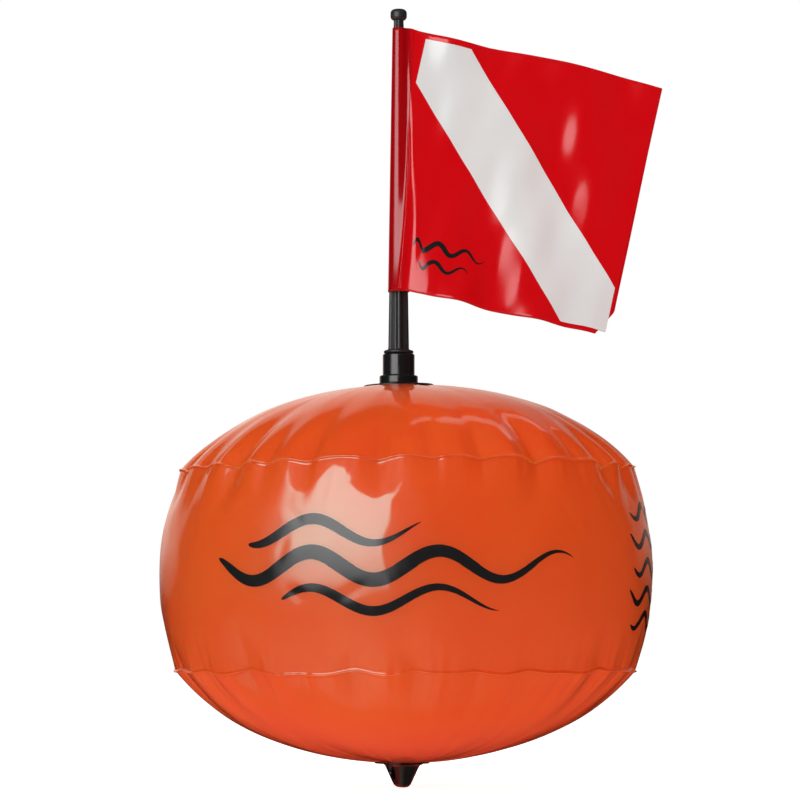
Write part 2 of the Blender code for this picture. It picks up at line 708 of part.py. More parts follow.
def make_valve(base_finish, plug_finish):
    frame = valve_frame()
    foot = SEAT_GAP
    flange_top = foot + VALVE_FLANGE_THICKNESS
    stem_top = flange_top + VALVE_STEM_HEIGHT
    bore_floor = stem_top - PLUG_SHANK_LENGTH - 4 * SEAT_GAP
    turned("valve_base", [
        (0, foot),
        (VALVE_FLANGE_RADIUS, foot),
        (VALVE_FLANGE_RADIUS, flange_top),
        (VALVE_STEM_RADIUS + VALVE_FILLET, flange_top),
        (VALVE_STEM_RADIUS, flange_top + VALVE_FILLET),
        (VALVE_STEM_RADIUS, stem_top),
        (VALVE_BORE_RADIUS, stem_top),
        (VALVE_BORE_RADIUS, bore_floor),
        (0, bore_floor),
    ], base_finish, frame, VALVE_SEGMENTS)
    shank = VALVE_BORE_RADIUS - FIT_CLEARANCE
    seat = stem_top + SEAT_GAP
    lid = seat + PLUG_THICKNESS
    edge = PLUG_THICKNESS * 0.3
    plug = turned("valve_plug", [
        (0, stem_top - PLUG_SHANK_LENGTH),
        (shank - edge / 2, stem_top - PLUG_SHANK_LENGTH),
        (shank, stem_top - PLUG_SHANK_LENGTH + edge),
        (shank, seat),
        (PLUG_RADIUS, seat),
        (PLUG_RADIUS, lid - edge),
        (PLUG_RADIUS - edge, lid),
        (0, lid),
    ], plug_finish, frame, VALVE_SEGMENTS)
    root, tip = PLUG_RADIUS * 0.6, PLUG_RADIUS + TAB_LENGTH - TAB_HALF_WIDTH
    outline = [(root, TAB_HALF_WIDTH), *arc((tip, 0), TAB_HALF_WIDTH, 90, -90, 8)]
    outline += [(root, -TAB_HALF_WIDTH)]
    low = seat + (PLUG_THICKNESS - TAB_THICKNESS) / 2
    rings = [[Vector((x, y, z)) for x, y in outline] for z in (low, low + TAB_THICKNESS)]
    points, faces = lofted(rings)
    count = len(outline)
    faces += [list(range(count)), list(range(count, 2 * count))]
    tab = solid("tab_tool", points, faces, plug_finish, frame)
    tab.rotation_euler = (0, 0, math.radians(90))
    combine(plug, tab, "UNION")


def main():
    clear_scene()
    orange = material("orange_film", (0.78, 0.12, 0.02), 0.18)
    black = material("black_moulding", (0.012, 0.012, 0.013), 0.30)
    satin = material("mast_moulding", (0.020, 0.020, 0.021), 0.45)
    red = material("red_film", (0.62, 0.004, 0.008), 0.20)
    white = material("white_film", (0.74, 0.72, 0.73), 0.25)
    make_float(orange)
    make_lug(black)
    make_socket(black)
    make_mast(satin)
    flag_frame = empty("flag_frame", (MAST_OFFSET, 0, FLAG_TOP))
    make_flag(red, flag_frame)
    make_stripe("flag_stripe_front", 1, white, flag_frame)
    make_stripe("flag_stripe_back", -1, white, flag_frame)
    make_valve(orange, orange)


main()
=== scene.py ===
# %% [markdown]
# An inflated dive float, with a mast, a flag and a lug for its line.
#
# The solids come ready made, at their real size. This lesson gives them their looks.
# Film that is blown up tight, gloss on black mouldings, and a flag that hangs from a
# sleeve are three different problems, and each one gets its own cells.

# %% Load the frame
import json
import math
from collections import namedtuple

import bmesh
import bpy
import numpy as np
from mathutils import Matrix, Vector


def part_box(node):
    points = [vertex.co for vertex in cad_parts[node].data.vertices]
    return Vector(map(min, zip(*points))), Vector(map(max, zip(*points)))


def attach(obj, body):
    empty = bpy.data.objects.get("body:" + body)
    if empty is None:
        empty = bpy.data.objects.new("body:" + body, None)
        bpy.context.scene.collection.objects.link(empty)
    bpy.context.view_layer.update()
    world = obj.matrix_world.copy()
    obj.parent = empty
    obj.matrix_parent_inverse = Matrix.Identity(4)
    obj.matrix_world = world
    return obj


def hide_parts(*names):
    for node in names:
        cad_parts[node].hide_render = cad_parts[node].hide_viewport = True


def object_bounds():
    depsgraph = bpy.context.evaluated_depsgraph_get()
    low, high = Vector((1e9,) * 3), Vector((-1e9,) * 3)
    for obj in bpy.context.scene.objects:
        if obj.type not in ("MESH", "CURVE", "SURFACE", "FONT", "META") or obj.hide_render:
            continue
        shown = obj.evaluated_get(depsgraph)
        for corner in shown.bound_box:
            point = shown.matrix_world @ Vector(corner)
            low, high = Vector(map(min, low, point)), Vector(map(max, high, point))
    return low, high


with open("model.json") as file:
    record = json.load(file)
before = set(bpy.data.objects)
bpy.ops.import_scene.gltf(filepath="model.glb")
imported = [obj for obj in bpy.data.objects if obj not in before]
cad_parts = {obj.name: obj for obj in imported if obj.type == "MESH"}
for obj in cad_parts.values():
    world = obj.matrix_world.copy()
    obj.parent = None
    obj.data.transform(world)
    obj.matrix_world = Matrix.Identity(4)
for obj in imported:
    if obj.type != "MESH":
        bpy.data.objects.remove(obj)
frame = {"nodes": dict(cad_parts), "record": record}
solid_box = [list(corner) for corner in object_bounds()]
print("nodes:", sorted(frame["nodes"]))
print("box in metres:", solid_box)

# %% [markdown]
# The photograph was taken from about 2.5 m with a long lens, a little below the middle
# of the float: its upper seam curves up and its lower seam is almost straight. The
# camera stands there and looks slightly upwards.

# %% Camera
CAMERA_PLACE = (-0.0015, -2.5, 0.0989)
CAMERA_TILT = 3.99
SENSOR = 36.0
LENS = 152.8


def make_camera():
    lens = bpy.data.cameras.new("camera")
    lens.sensor_width = SENSOR
    lens.lens = LENS
    camera = bpy.data.objects.new("camera", lens)
    camera.location = CAMERA_PLACE
    camera.rotation_euler = (math.radians(90 + CAMERA_TILT), 0, 0)
    bpy.context.scene.collection.objects.link(camera)
    bpy.context.scene.camera = camera
    return camera


camera = make_camera()
bpy.context.scene.view_settings.view_transform = "Standard"
print("camera at", [round(x, 3) for x in camera.location])

# %% [markdown]
# Shader maths reads best as plain sums. A Wire is the output of a node, and adding or
# multiplying wires puts Math nodes in the tree. A Finish is one material: its node
# method sets a node's settings first, and then its inputs, so any node can be made
# in one line.

# %% Wires and finishes
GRAIN_DEPTH = 0.00002


class Wire:
    """A node's output, which can be used in a sum or a product."""

    def __init__(self, finish, socket):
        self.finish = finish
        self.socket = socket

    def math(self, operation, first, second=0.0, clamp=False):
        settings = {"operation": operation, "use_clamp": clamp}
        return self.finish.node("ShaderNodeMath", settings, {0: first, 1: second})

    def __add__(self, other):
        return self.math("ADD", self, other)

    def __radd__(self, other):
        return self.math("ADD", other, self)

    def __sub__(self, other):
        return self.math("SUBTRACT", self, other)

    def __rsub__(self, other):
        return self.math("SUBTRACT", other, self)

    def __mul__(self, other):
        return self.math("MULTIPLY", self, other)

    def __rmul__(self, other):
        return self.math("MULTIPLY", other, self)

    def __truediv__(self, other):
        return self.math("DIVIDE", self, other)

    def __rtruediv__(self, other):
        return self.math("DIVIDE", other, self)

    def __pow__(self, other):
        return self.math("POWER", self, other)

    def clamped(self):
        return self.math("ADD", self, 0.0, clamp=True)

    def ramp(self, *stops):
        """Grey stops, as (place, value), read off at this wire's value."""
        coloured = [(place, (value, value, value, 1)) for place, value in stops]
        return self.finish.node("ShaderNodeValToRGB", {"stops": coloured}, {"Fac": self})


class Finish:
    """A material with a Principled shader, built node by node."""

    def __init__(self, name, tree=None):
        if tree is None:
            self.material = bpy.data.materials.new(name)
            self.material.use_nodes = True
            tree = self.material.node_tree
        self.tree = tree
        self.shader = tree.nodes.get("Principled BSDF")

    def node(self, kind, settings=None, inputs=None, output=0):
        made = self.tree.nodes.new(kind)
        for key, value in (settings or {}).items():
            if key == "stops":
                self.place_stops(made.color_ramp, value)
            else:
                setattr(made, key, value)
        for key, value in (inputs or {}).items():
            self.feed(made.inputs[key], value)
        return Wire(self, made.outputs[output])

    def place_stops(self, ramp, stops):
        while len(ramp.elements) < len(stops):
            ramp.elements.new(1.0)
        for element, (place, colour) in zip(ramp.elements, stops):
            element.position = place
            element.color = colour

    def feed(self, socket, value):
        if isinstance(value, Wire):
            self.tree.links.new(value.socket, socket)
        else:
            socket.default_value = value

    def mix(self, share, first, second):
        """A colour between two colours."""
        settings = {"data_type": "RGBA"}
        return self.node("ShaderNodeMix", settings, {0: share, 6: first, 7: second}, output=2)

    def parts(self, vector):
        """The X, Y and Z of a vector."""
        split = self.node("ShaderNodeSeparateXYZ", None, {0: vector}).socket.node
        return [Wire(self, split.outputs[axis]) for axis in "XYZ"]

    def ray(self, kind):
        """1 for one kind of light ray, such as Is Camera Ray, and 0 for the others."""
        return self.node("ShaderNodeLightPath", output=kind)

    def place(self):
        """Where a point lies on the object, in metres."""
        return self.node("ShaderNodeTexCoord", output="Object")

    def noise(self, scale, detail=2.0):
        inputs = {"Vector": self.place(), "Scale": scale, "Detail": detail}
        return self.node("ShaderNodeTexNoise", None, inputs, output="Fac")

    def bump(self, height, strength):
        inputs = {"Height": height, "Distance": GRAIN_DEPTH, "Strength": strength}
        return self.node("ShaderNodeBump", None, inputs, output="Normal")

    def surface(self, **values):
        """Feeds the shader. A name's underscores stand for spaces."""
        for name, value in values.items():
            self.feed(self.shader.inputs[name.replace("_", " ")], value)
        return self.material


# %% [markdown]
# The picture is a studio shot: a sheet of white paper behind, a dark room around the
# camera, and one large soft box on the left. Glossy film shows all of that, so the room
# is painted in the world, for glossy rays alone: white behind the float and dark in
# front. The paper's edge gives the pale rim along the top of the dome. The floor is
# brighter on the side of the key lamp, and right under the float it is orange from the
# float's own light. The camera itself sees plain white everywhere.
#
# A ramp reads from 0 to 1. The parts of a direction run from -1 to 1, so the rightward
# and upward parts are halved and shifted before a ramp reads them. The backward and
# downward parts are read as they are, because only their positive half matters. Each
# stop below is such a place and the brightness there.

# %% Room
PAPER_FADE = ((0.66, 0.0), (0.72, 0.45), (1.0, 1.0))
PAPER_SIDES = ((0.46, 1.0), (0.60, 0.42))
PAPER_FOOT = ((0.49, 0.0), (0.54, 1.0))
PAPER_GLOW = 1.08
PAPER_TINT = (1.0, 0.70, 0.60, 1)
FLOOR_START = ((0.22, 0.0), (0.60, 1.0))
FLOOR_SIDES = ((0.34, 0.50), (0.64, 0.02))
FLOOR_RIM = ((0.0, 0.0), (0.4, 0.49), (0.8, 0.70))
FLOOR_TINT = (1.0, 0.10, 0.07, 1)
TINT_DOWN = ((0.0, 0.0), (0.05, 1.0))
TINT_BACK = ((0.0, 0.0), (0.20, 1.0))
ROOM_GLOW = 0.006
ROOM_LIGHT = 0.24
WHITE = (1, 1, 1, 1)


def make_room():
    world = bpy.data.worlds.new("studio")
    bpy.context.scene.world = world
    world.use_nodes = True
    room = Finish("studio", world.node_tree)
    background = world.node_tree.nodes["Background"]
    right, back, up = room.parts(room.node("ShaderNodeTexCoord", output="Generated"))
    rightward, upward, down = right * 0.5 + 0.5, up * 0.5 + 0.5, up * -1.0
    behind = back.ramp(*PAPER_FADE) * rightward.ramp(*PAPER_SIDES)
    paper = PAPER_GLOW * behind * upward.ramp(*PAPER_FOOT)
    below = down.ramp(*FLOOR_START)
    floor = below * rightward.ramp(*FLOOR_SIDES) + below * back.ramp(*FLOOR_RIM)
    glossy = room.ray("Is Glossy Ray")
    level = ROOM_LIGHT + glossy * (paper + floor + ROOM_GLOW - ROOM_LIGHT)
    white = (room.ray("Is Camera Ray") + room.ray("Is Transmission Ray")).clamped()
    level = level + white * (1.0 - level)
    room.feed(background.inputs["Strength"], level)
    from_floor = down.ramp(*TINT_DOWN) * back.ramp(*TINT_BACK)
    tint = room.mix(from_floor, PAPER_TINT, FLOOR_TINT)
    room.feed(background.inputs["Color"], room.mix(glossy, WHITE, tint))


make_room()
print("room made")

# %% [markdown]
# The lamps come in two kinds. Three of them light the float and stay out of its gloss.
# The soft box does the opposite: it is only there to be mirrored, so its size and its
# fading edges can be set without any change to the light.

# %% Lamps
Lamp = namedtuple("Lamp", "name place size power colour mirrored")
LAMPS = (
    Lamp("key", (-46, 28, 2.2), (1.4, 1.4), 18.0, (0.74, 1, 0.94), False),
    Lamp("fill", (45, 15, 2.4), (1.8, 1.8), 9.0, (1, 0.42, 0.36), False),
    Lamp("top", (0, 80, 2.0), (2.0, 2.0), 24.0, (1, 0.80, 0.76), False),
    Lamp("soft_box", (-36, 15, 1.5), (1.60, 1.22), 30.0, (1, 1, 1), True),
)
LAMPS_AIM_AT = Vector((0, 0, 0.15))
LEFT_FADE = ((0.0, 0.0), (0.12, 0.12), (0.26, 0.85), (0.45, 1.0), (1.0, 0.95))
LOW_FADE = ((0.0, 0.15), (0.10, 0.55), (0.40, 1.0), (1.0, 1.0))


def make_lamp(lamp):
    """A rectangular lamp that faces the float.

    Its place is an azimuth, with 0 the camera's side and + to the right, an elevation,
    both in degrees, and a distance.
    """
    azimuth, elevation, distance = lamp.place
    light = bpy.data.lights.new(lamp.name, "AREA")
    light.shape = "RECTANGLE"
    light.size, light.size_y = lamp.size
    light.energy = lamp.power
    light.color = lamp.colour
    made = bpy.data.objects.new(lamp.name, light)
    a, e = math.radians(azimuth), math.radians(elevation)
    away = Vector((math.sin(a) * math.cos(e), -math.cos(a) * math.cos(e), math.sin(e)))
    made.location = LAMPS_AIM_AT + away * distance
    made.rotation_euler = (-away).to_track_quat("-Z", "Y").to_euler()
    made.visible_camera = False
    made.visible_glossy = lamp.mirrored
    made.visible_diffuse = not lamp.mirrored
    bpy.context.scene.collection.objects.link(made)
    return made


def fade_edges(lamp):
    """A soft box is brightest in its middle. Its left and lower edges fade out."""
    lamp.data.use_nodes = True
    cloth = Finish("soft_box", lamp.data.node_tree)
    on_lamp = cloth.node("ShaderNodeNewGeometry", output="Parametric")
    right, up = cloth.parts(on_lamp)[:2]
    bright = right.ramp(*LEFT_FADE) * up.ramp(*LOW_FADE)
    cloth.feed(lamp.data.node_tree.nodes["Emission"].inputs["Strength"], bright)


lamps = [make_lamp(lamp) for lamp in LAMPS]
fade_edges(lamps[-1])
print("lamps:", [lamp.name for lamp in lamps])

# %% [markdown]
# The floor is white paper too. The camera sees it a little brighter than it is lit, so
# that it meets the background without an edge and still keeps the float's shadow. It
# also throws light back up, as paper in a studio does, which keeps the underside of the
# float from going dull. The film's gloss shows the floor that the world has instead.

# %% Floor
FLOOR_SIZE = 12.0
FLOOR_WHITE = 0.80
FLOOR_GLOW = 0.90
FLOOR_BOUNCE = 0.61
BOUNCE_TINT = (0.88, 1, 1, 1)


def make_floor():
    mesh = bpy.data.meshes.new("floor")
    half = FLOOR_SIZE / 2
    low = solid_box[0][2]
    corners = [(x, y, low) for x, y in ((-half, -half), (half, -half), (half, half), (-half, half))]
    mesh.from_pydata(corners, [], [(0, 1, 2, 3)])
    floor = bpy.data.objects.new("floor", mesh)
    bpy.context.scene.collection.objects.link(floor)
    floor.visible_glossy = False
    paper = Finish("paper")
    seen, bounced = paper.ray("Is Camera Ray"), paper.ray("Is Diffuse Ray")
    paper.surface(
        Base_Color=(FLOOR_WHITE,) * 3 + (1,), Roughness=0.9, Specular_IOR_Level=0.1,
        Emission_Color=paper.mix(seen, BOUNCE_TINT, WHITE),
        Emission_Strength=seen * FLOOR_GLOW + bounced * FLOOR_BOUNCE,
    )
    mesh.materials.append(paper.material)


make_floor()
print("floor at", round(solid_box[0][2], 4))

# %% [markdown]
# Glossy film has two kinds of shine. Its skin mirrors the lamps sharply, and the film
# under it spreads the same light into a wide soft sheen, so the orange gets a clear
# specular layer and a rough coat over it. Light also wanders inside the film and the
# bag, which a little subsurface scattering gives. The red film is thin and lets light
# from behind through, but not where the sleeve lies on the black mast. That shade is
# painted: the red is painted darker near the mast, as painted shade, and is full red away from it.

# %% Finishes
FILM_ORANGE = (0.84, 0.104, 0.010, 1)
FILM_DEEPER = (0.81, 0.082, 0.007, 1)
MIRROR_TINT = (0.15, 1.0, 0.90, 1)
SHEEN = 0.50
GLOW_THROUGH = 0.5
GLOW_REACH = (1.0, 0.14, 0.05)
GLOW_SCALE = 0.045
RED_OPEN = (0.62, 0.0012, 0.0045, 1)
# Painted shade: the red painted darker where the sleeve lies on the mast.
RED_PAINTED_SHADE = (0.36, 0.0003, 0.0030, 1)
WHITE_DULL = (0.71, 0.71, 0.725, 1)
WHITE_CLEAR = (0.755, 0.76, 0.775, 1)
# How far from the mast's axis the painted shade reaches.
PAINTED_SHADE_REACH = 0.0088
MAST_AT = -0.0025
BLOTCH = ((0.35, 0.0), (0.7, 1.0))


def orange_film():
    film = Finish("orange_film")
    colour = film.mix(film.noise(9.0, 3.0).ramp(*BLOTCH), FILM_ORANGE, FILM_DEEPER)
    return film.surface(
        Base_Color=colour, Roughness=film.noise(60.0) * 0.04 + 0.05,
        Normal=film.bump(film.noise(900.0), 0.25),
        Specular_IOR_Level=0.85, Specular_Tint=MIRROR_TINT, Coat_Weight=SHEEN,
        Coat_Roughness=0.40, Subsurface_Weight=GLOW_THROUGH,
        Subsurface_Radius=GLOW_REACH, Subsurface_Scale=GLOW_SCALE,
    )


def red_film():
    film = Finish("red_film")
    across, back = film.parts(film.place())[:2]
    across = across - MAST_AT
    away = (across * across + back * back) ** 0.5
    # Painted shade: darker red within that reach of the mast, full red beyond it.
    out_of_painted_shade = (away / (2 * PAINTED_SHADE_REACH)).ramp((0.44, 0.0), (0.56, 1.0))
    return film.surface(
        Base_Color=film.mix(out_of_painted_shade, RED_PAINTED_SHADE, RED_OPEN),
        Roughness=film.noise(45.0) * 0.06 + 0.12, Normal=film.bump(film.noise(700.0), 0.25),
    )


def white_film():
    film = Finish("white_film")
    colour = film.mix(film.noise(14.0).ramp(*BLOTCH), WHITE_DULL, WHITE_CLEAR)
    return film.surface(Base_Color=colour, Roughness=film.noise(45.0) * 0.06 + 0.17)


def moulding(name, shade, roughness):
    """Black plastic. Its skin is a little uneven, as the steel of its mould is."""
    plastic = Finish(name)
    worn = plastic.noise(120.0, 4.0).ramp((0.4, 0.0), (0.7, 1.0))
    return plastic.surface(
        Base_Color=(shade, shade, 1.05 * shade, 1), Roughness=worn * 0.10 + roughness,
        Normal=plastic.bump(plastic.noise(1400.0, 3.0), 0.4),
    )


looks = {
    "orange_film": orange_film(),
    "black_moulding": moulding("black_moulding", 0.013, 0.14),
    "mast_moulding": moulding("mast_moulding", 0.021, 0.36),
    "red_film": red_film(),
    "white_film": white_film(),
}
for part in frame["record"]["subparts"]:
    node = frame["nodes"][part["node"]]
    for slot in node.material_slots:
        slot.material = looks[part["material_slot"]]
print("finishes:", sorted(looks))

# %% [markdown]
# The float is a round bag: a band and two end discs, welded along two seams. A flat
# disc cannot become a dome without getting narrower at its rim, so disc and band are
# both gathered at the weld. The film is full between the folds, and each fold is a
# valley that starts at the weld and fades out as a shallow dent.
#
# Such a bag could be blown up by a cloth simulation. Here it is drawn by a rule, so
# that each fold lies where it should, and the skin keeps to the solid under it.

# %% Sizes of the float
UPPER_FRONT_FOLDS = (-74, -60, -47, -36, -25, -7, 6, 18, 33, 45, 58, 70, 82)
UPPER_FRONT_DEPTHS = (0.8, 0.6, 1.2, 0.7, 0.8, 0.9, 0.6, 0.8, 1.2, 0.4, 1.4, 1.3, 1.2)
LOWER_FRONT_FOLDS = (-72, -57, -40, -26, -12, 2.5, 10, 17, 31, 41, 55, 66, 78)
LOWER_FRONT_DEPTHS = (0.7, 0.6, 1.2, 0.4, 1.2, 1.1, 0.4, 0.9, 1.0, 0.5, 1.0, 0.6, 0.7)
REAR_FOLDS = 13
REAR_DEPTH = 0.85
REAR_DEPTH_SPREAD = 0.35
BELLY_RADIUS = 0.1810
UPPER_TUCK = 0.0140
LOWER_TUCK = 0.0118
TOP_RISE = 0.0617
BOTTOM_RISE = 0.0659
TOP_SINK = 0.0400
BOTTOM_SINK = 0.0560
FLOAT_CENTRE = 0.0028
FLOAT_LEAN = 0.013
SHOULDER_RISE = 0.0018

float_low, float_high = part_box("float_body")
LOWER_SEAM = float_low[2] + BOTTOM_RISE
UPPER_SEAM = float_high[2] - TOP_RISE
HALF_BAND = (UPPER_SEAM - LOWER_SEAM) / 2
FLOAT_MIDDLE = (UPPER_SEAM + LOWER_SEAM) / 2
UPPER_RADIUS = BELLY_RADIUS - UPPER_TUCK
LOWER_RADIUS = BELLY_RADIUS - LOWER_TUCK
print("seams at", round(LOWER_SEAM, 4), round(UPPER_SEAM, 4))


# %% Where the film lies
def dome_height(radius, rise, sink, rim):
    """How far an end disc stands above its seam, at a distance from its centre."""
    tall = rise + sink
    wide = rim / math.sqrt(1 - (sink / tall) ** 2)
    return tall * np.sqrt(1 - (radius / wide) ** 2) - sink


def axis_at(height):
    """How far to the right the float's axis stands at a height, because it leans."""
    return FLOAT_CENTRE + FLOAT_LEAN * (height - FLOAT_MIDDLE)


def band_radius(height):
    """The band's radius at a height from its middle. Its two halves are arcs."""
    tuck = UPPER_TUCK if height > 0 else LOWER_TUCK
    bend = (HALF_BAND ** 2 + tuck ** 2) / (2 * tuck)
    return BELLY_RADIUS - bend + math.sqrt(bend ** 2 - height ** 2)


# %% [markdown]
# No two folds are alike: one is deep, the next runs far up the dome, another slants. A
# seeded generator gives these values, so that the bag comes out the same each time.

# %% How each fold differs
Fold = namedtuple("Fold", "place depth dome_reach band_reach dome_slant band_slant")
DOME_SLANT = (-60, 60)
BAND_SLANT = (-140, 140)
luck = np.random.default_rng(11)


def folds_round(front, depths, dome_reach, band_reach):
    """Every fold round a seam: those in front, then the rest evenly behind."""
    gap = (front[0] + 360 - front[-1]) / (REAR_FOLDS + 1)
    places = list(front) + [front[-1] + gap * (k + 1) for k in range(REAR_FOLDS)]
    depths = list(depths)
    depths += [REAR_DEPTH + REAR_DEPTH_SPREAD * math.sin(2.3 * k) for k in range(REAR_FOLDS)]
    ranges = (dome_reach, band_reach, DOME_SLANT, BAND_SLANT)
    return [
        Fold(place, depth, *[luck.uniform(*limits) for limits in ranges])
        for place, depth in zip(places, depths)
    ]


UPPER_FOLDS = folds_round(UPPER_FRONT_FOLDS, UPPER_FRONT_DEPTHS, (0.06, 0.10), (0.025, 0.065))
LOWER_FOLDS = folds_round(LOWER_FRONT_FOLDS, LOWER_FRONT_DEPTHS, (0.035, 0.065), (0.030, 0.060))
print("folds round each seam:", len(UPPER_FOLDS))

# %% [markdown]
# Each fold is a smooth valley. It is narrow and deepest at the weld, and it gets wider
# and shallower with the distance from it. A bell curve gives its cross-section, and one
# function reads all folds of a seam at once, for whole rows of the skin.

# %% Fold shape
FOLD_DEPTH = 0.0038
LOWER_SHARE = 0.75
SEAM_WAVE = 0.0036
FOLD_WIDTH = 3.6
LOWER_FOLD_WIDTH = 5.0
FOLD_SPREAD = 55.0
FOLD_SHARPNESS = 1.7


def drawn_in(degrees, distance, on_dome, folds, width=FOLD_WIDTH):
    """How far the folds draw the film in, with 1 in the middle of a full fold."""
    total = 0.0
    wide = width + FOLD_SPREAD * distance
    for fold in folds:
        reach = np.where(on_dome, fold.dome_reach, fold.band_reach)
        slant = np.where(on_dome, fold.dome_slant, fold.band_slant)
        away = (degrees - fold.place - slant * distance + 180) % 360 - 180
        fade = np.clip(1 - distance / reach, 0, 1)
        fade = fade * fade * (3 - 2 * fade)
        total = total + fold.depth * fade * np.exp(-np.abs(away / wide) ** FOLD_SHARPNESS)
    return total


# %% [markdown]
# Blown-up film is never quite even. Three sizes of waves make up for that: fine short
# ripples close to the weld, a slow swell of the whole bag, and very shallow dimples,
# which are only just seen in what the film mirrors.

# %% Ripples, swell and dimples
Wave = namedtuple("Wave", "turns climb start share")
RIPPLE_DEPTH = 0.00030
RIPPLE_TURNS = (61, 83, 104, 139)
RIPPLE_REACH = 0.016
RIPPLE_SHIFT = 1.7
RIPPLE_SLANT = 40
SWELL_DEPTH = 0.0004
SWELL_WAVES = (Wave(3, 9, 0.4, 1.0), Wave(5, -21, 2.1, 0.7), Wave(9, 34, 4.0, 0.5))
DIMPLE_DEPTH = 0.00006
DIMPLE_WAVES = (
    Wave(13, 90, 0.0, 1.0), Wave(-22, 140, 1.3, 0.8), Wave(37, -70, 5.2, 0.8),
    Wave(19, 260, 11.7, 0.4), Wave(-55, -120, 20.8, 0.5),
)


def ripples(angle, distance):
    """Fine ripples at the weld. The finer ones fade sooner."""
    total = 0.0
    for k, turns in enumerate(RIPPLE_TURNS):
        slant = RIPPLE_SLANT * distance * (k - 1.5)
        wave = np.sin(turns * angle + RIPPLE_SHIFT * k + slant)
        total = total + wave * np.exp(-distance / (RIPPLE_REACH - 0.002 * k))
    return RIPPLE_DEPTH * total / 2


def summed(waves, angle, height):
    """Waves that run round the float and climb it at the same time."""
    return sum(w.share * np.sin(w.turns * angle + w.climb * height + w.start) for w in waves)


# %% [markdown]
# Where the film was folded in its packet, a few small creases never go away. They are
# hardly deeper than the film is thick, but the mirrored lamp shows them.

# %% Creases
Crease = namedtuple("Crease", "place up wide tall lean depth")
CREASES = (
    Crease(-18.9, 0.054, 1.2, 0.010, 60, 0.00052),
    Crease(-16.2, 0.052, 1.1, 0.013, 40, 0.00056),
    Crease(-13.6, 0.054, 1.1, 0.010, 90, 0.00046),
    Crease(-25.3, 0.033, 1.8, 0.006, -260, 0.00034),
    Crease(-21.0, 0.020, 2.6, 0.004, 420, 0.00028),
    Crease(-28.2, 0.012, 1.3, 0.008, 120, 0.00040),
    Crease(-12.0, -0.018, 2.2, 0.006, 300, 0.00030),
    Crease(-24.0, -0.020, 2.0, 0.006, -300, 0.00030),
    Crease(38.0, 0.040, 1.6, 0.022, -230, 0.00050),
    Crease(53.0, 0.046, 1.5, 0.020, -210, 0.00055),
    Crease(-49.5, 0.044, 1.4, 0.014, 170, 0.00040),
)


def creases(degrees, height):
    """How far the small creases dent the band, from places round it and heights."""
    total = 0.0
    for crease in CREASES:
        climb = height - FLOAT_MIDDLE - crease.up
        away = (degrees - crease.place - crease.lean * climb + 180) % 360 - 180
        shape = np.exp(-((away / crease.wide) ** 2) - (climb / crease.tall) ** 2)
        total = total + crease.depth * shape
    return total


# %% [markdown]
# The skin is a grid. Its rows run up the bag, closer together near the welds, and its
# columns go round.

# %% Rows of the grid
WELD_FIN = 0.0014
WELD_HALF = 0.0006
DOME_ROWS = 56
BAND_ROWS = 26
TINY = 1e-5


def rows_from_seam(length, count, power):
    """Distances from a seam, close together at first."""
    steps = (np.arange(1, count + 1) / count) ** power
    return WELD_HALF + (length - WELD_HALF) * steps


def band_out(height):
    """Which way the band faces at a height from its middle: outward and up."""
    slope = (band_radius(height + TINY) - band_radius(height)) / TINY
    return np.array([1.0, -slope]) / math.hypot(slope, 1.0)


def float_rows():
    """For each row: radius, height, outward direction, distance to the seam, side, dome."""
    rows = []

    def dome(rise, sink, rim, seam, side):
        found = []
        for step in rows_from_seam(rim, DOME_ROWS, 1.35)[:-1]:
            radius = rim - step
            rest = dome_height(radius, rise, sink, rim)
            slope = (dome_height(radius + TINY, rise, sink, rim) - rest) / TINY
            out = np.array([-slope, 1.0]) / math.hypot(slope, 1.0)
            found.append((radius, seam + side * rest, out[0], side * out[1], step, side, 1))
        return found

    def weld(rim, seam, side):
        """The welded edge, from the band to the dome."""
        found = []
        for angle in (-90, -60, -30, 0, 30, 60, 90):
            a = math.radians(angle)
            radius = rim + WELD_FIN * math.cos(a) ** 0.6
            found.append((radius, seam + side * WELD_HALF * math.sin(a), 1.0, 0.0, 0.0, side, 0))
        return found

    def band():
        found = []
        steps = rows_from_seam(HALF_BAND, BAND_ROWS, 1.25)
        heights = [-HALF_BAND + s for s in steps] + [HALF_BAND - s for s in steps[-2::-1]]
        for height in heights:
            side = 1 if height > 0 else -1
            radius, out = band_radius(height), band_out(height)
            step = HALF_BAND - abs(height)
            found.append((radius, FLOAT_MIDDLE + height, out[0], out[1], step, side, 0))
        return found

    rows += dome(BOTTOM_RISE, BOTTOM_SINK, LOWER_RADIUS, LOWER_SEAM, -1)[::-1]
    rows += weld(LOWER_RADIUS, LOWER_SEAM, -1)[::-1]
    rows += band()
    rows += weld(UPPER_RADIUS, UPPER_SEAM, 1)
    rows += dome(TOP_RISE, TOP_SINK, UPPER_RADIUS, UPPER_SEAM, 1)
    return np.array(rows)


# %% [markdown]
# Now everything is added up. Folds, ripples and creases push the film along its own
# outward direction, so a point on the dome mostly moves down and one on the band moves
# in. The folds also make the weld rise and dip. Besides, both seams stand a little
# farther from the belly in front and behind than they do at the sides.

# %% The film's surface
UPPER_CROWN = 0.0018
LOWER_CROWN = 0.0016
CROWN_REACH = 0.05
SEAM_WAVE_REACH = 0.022
CALM_REACH = 0.02


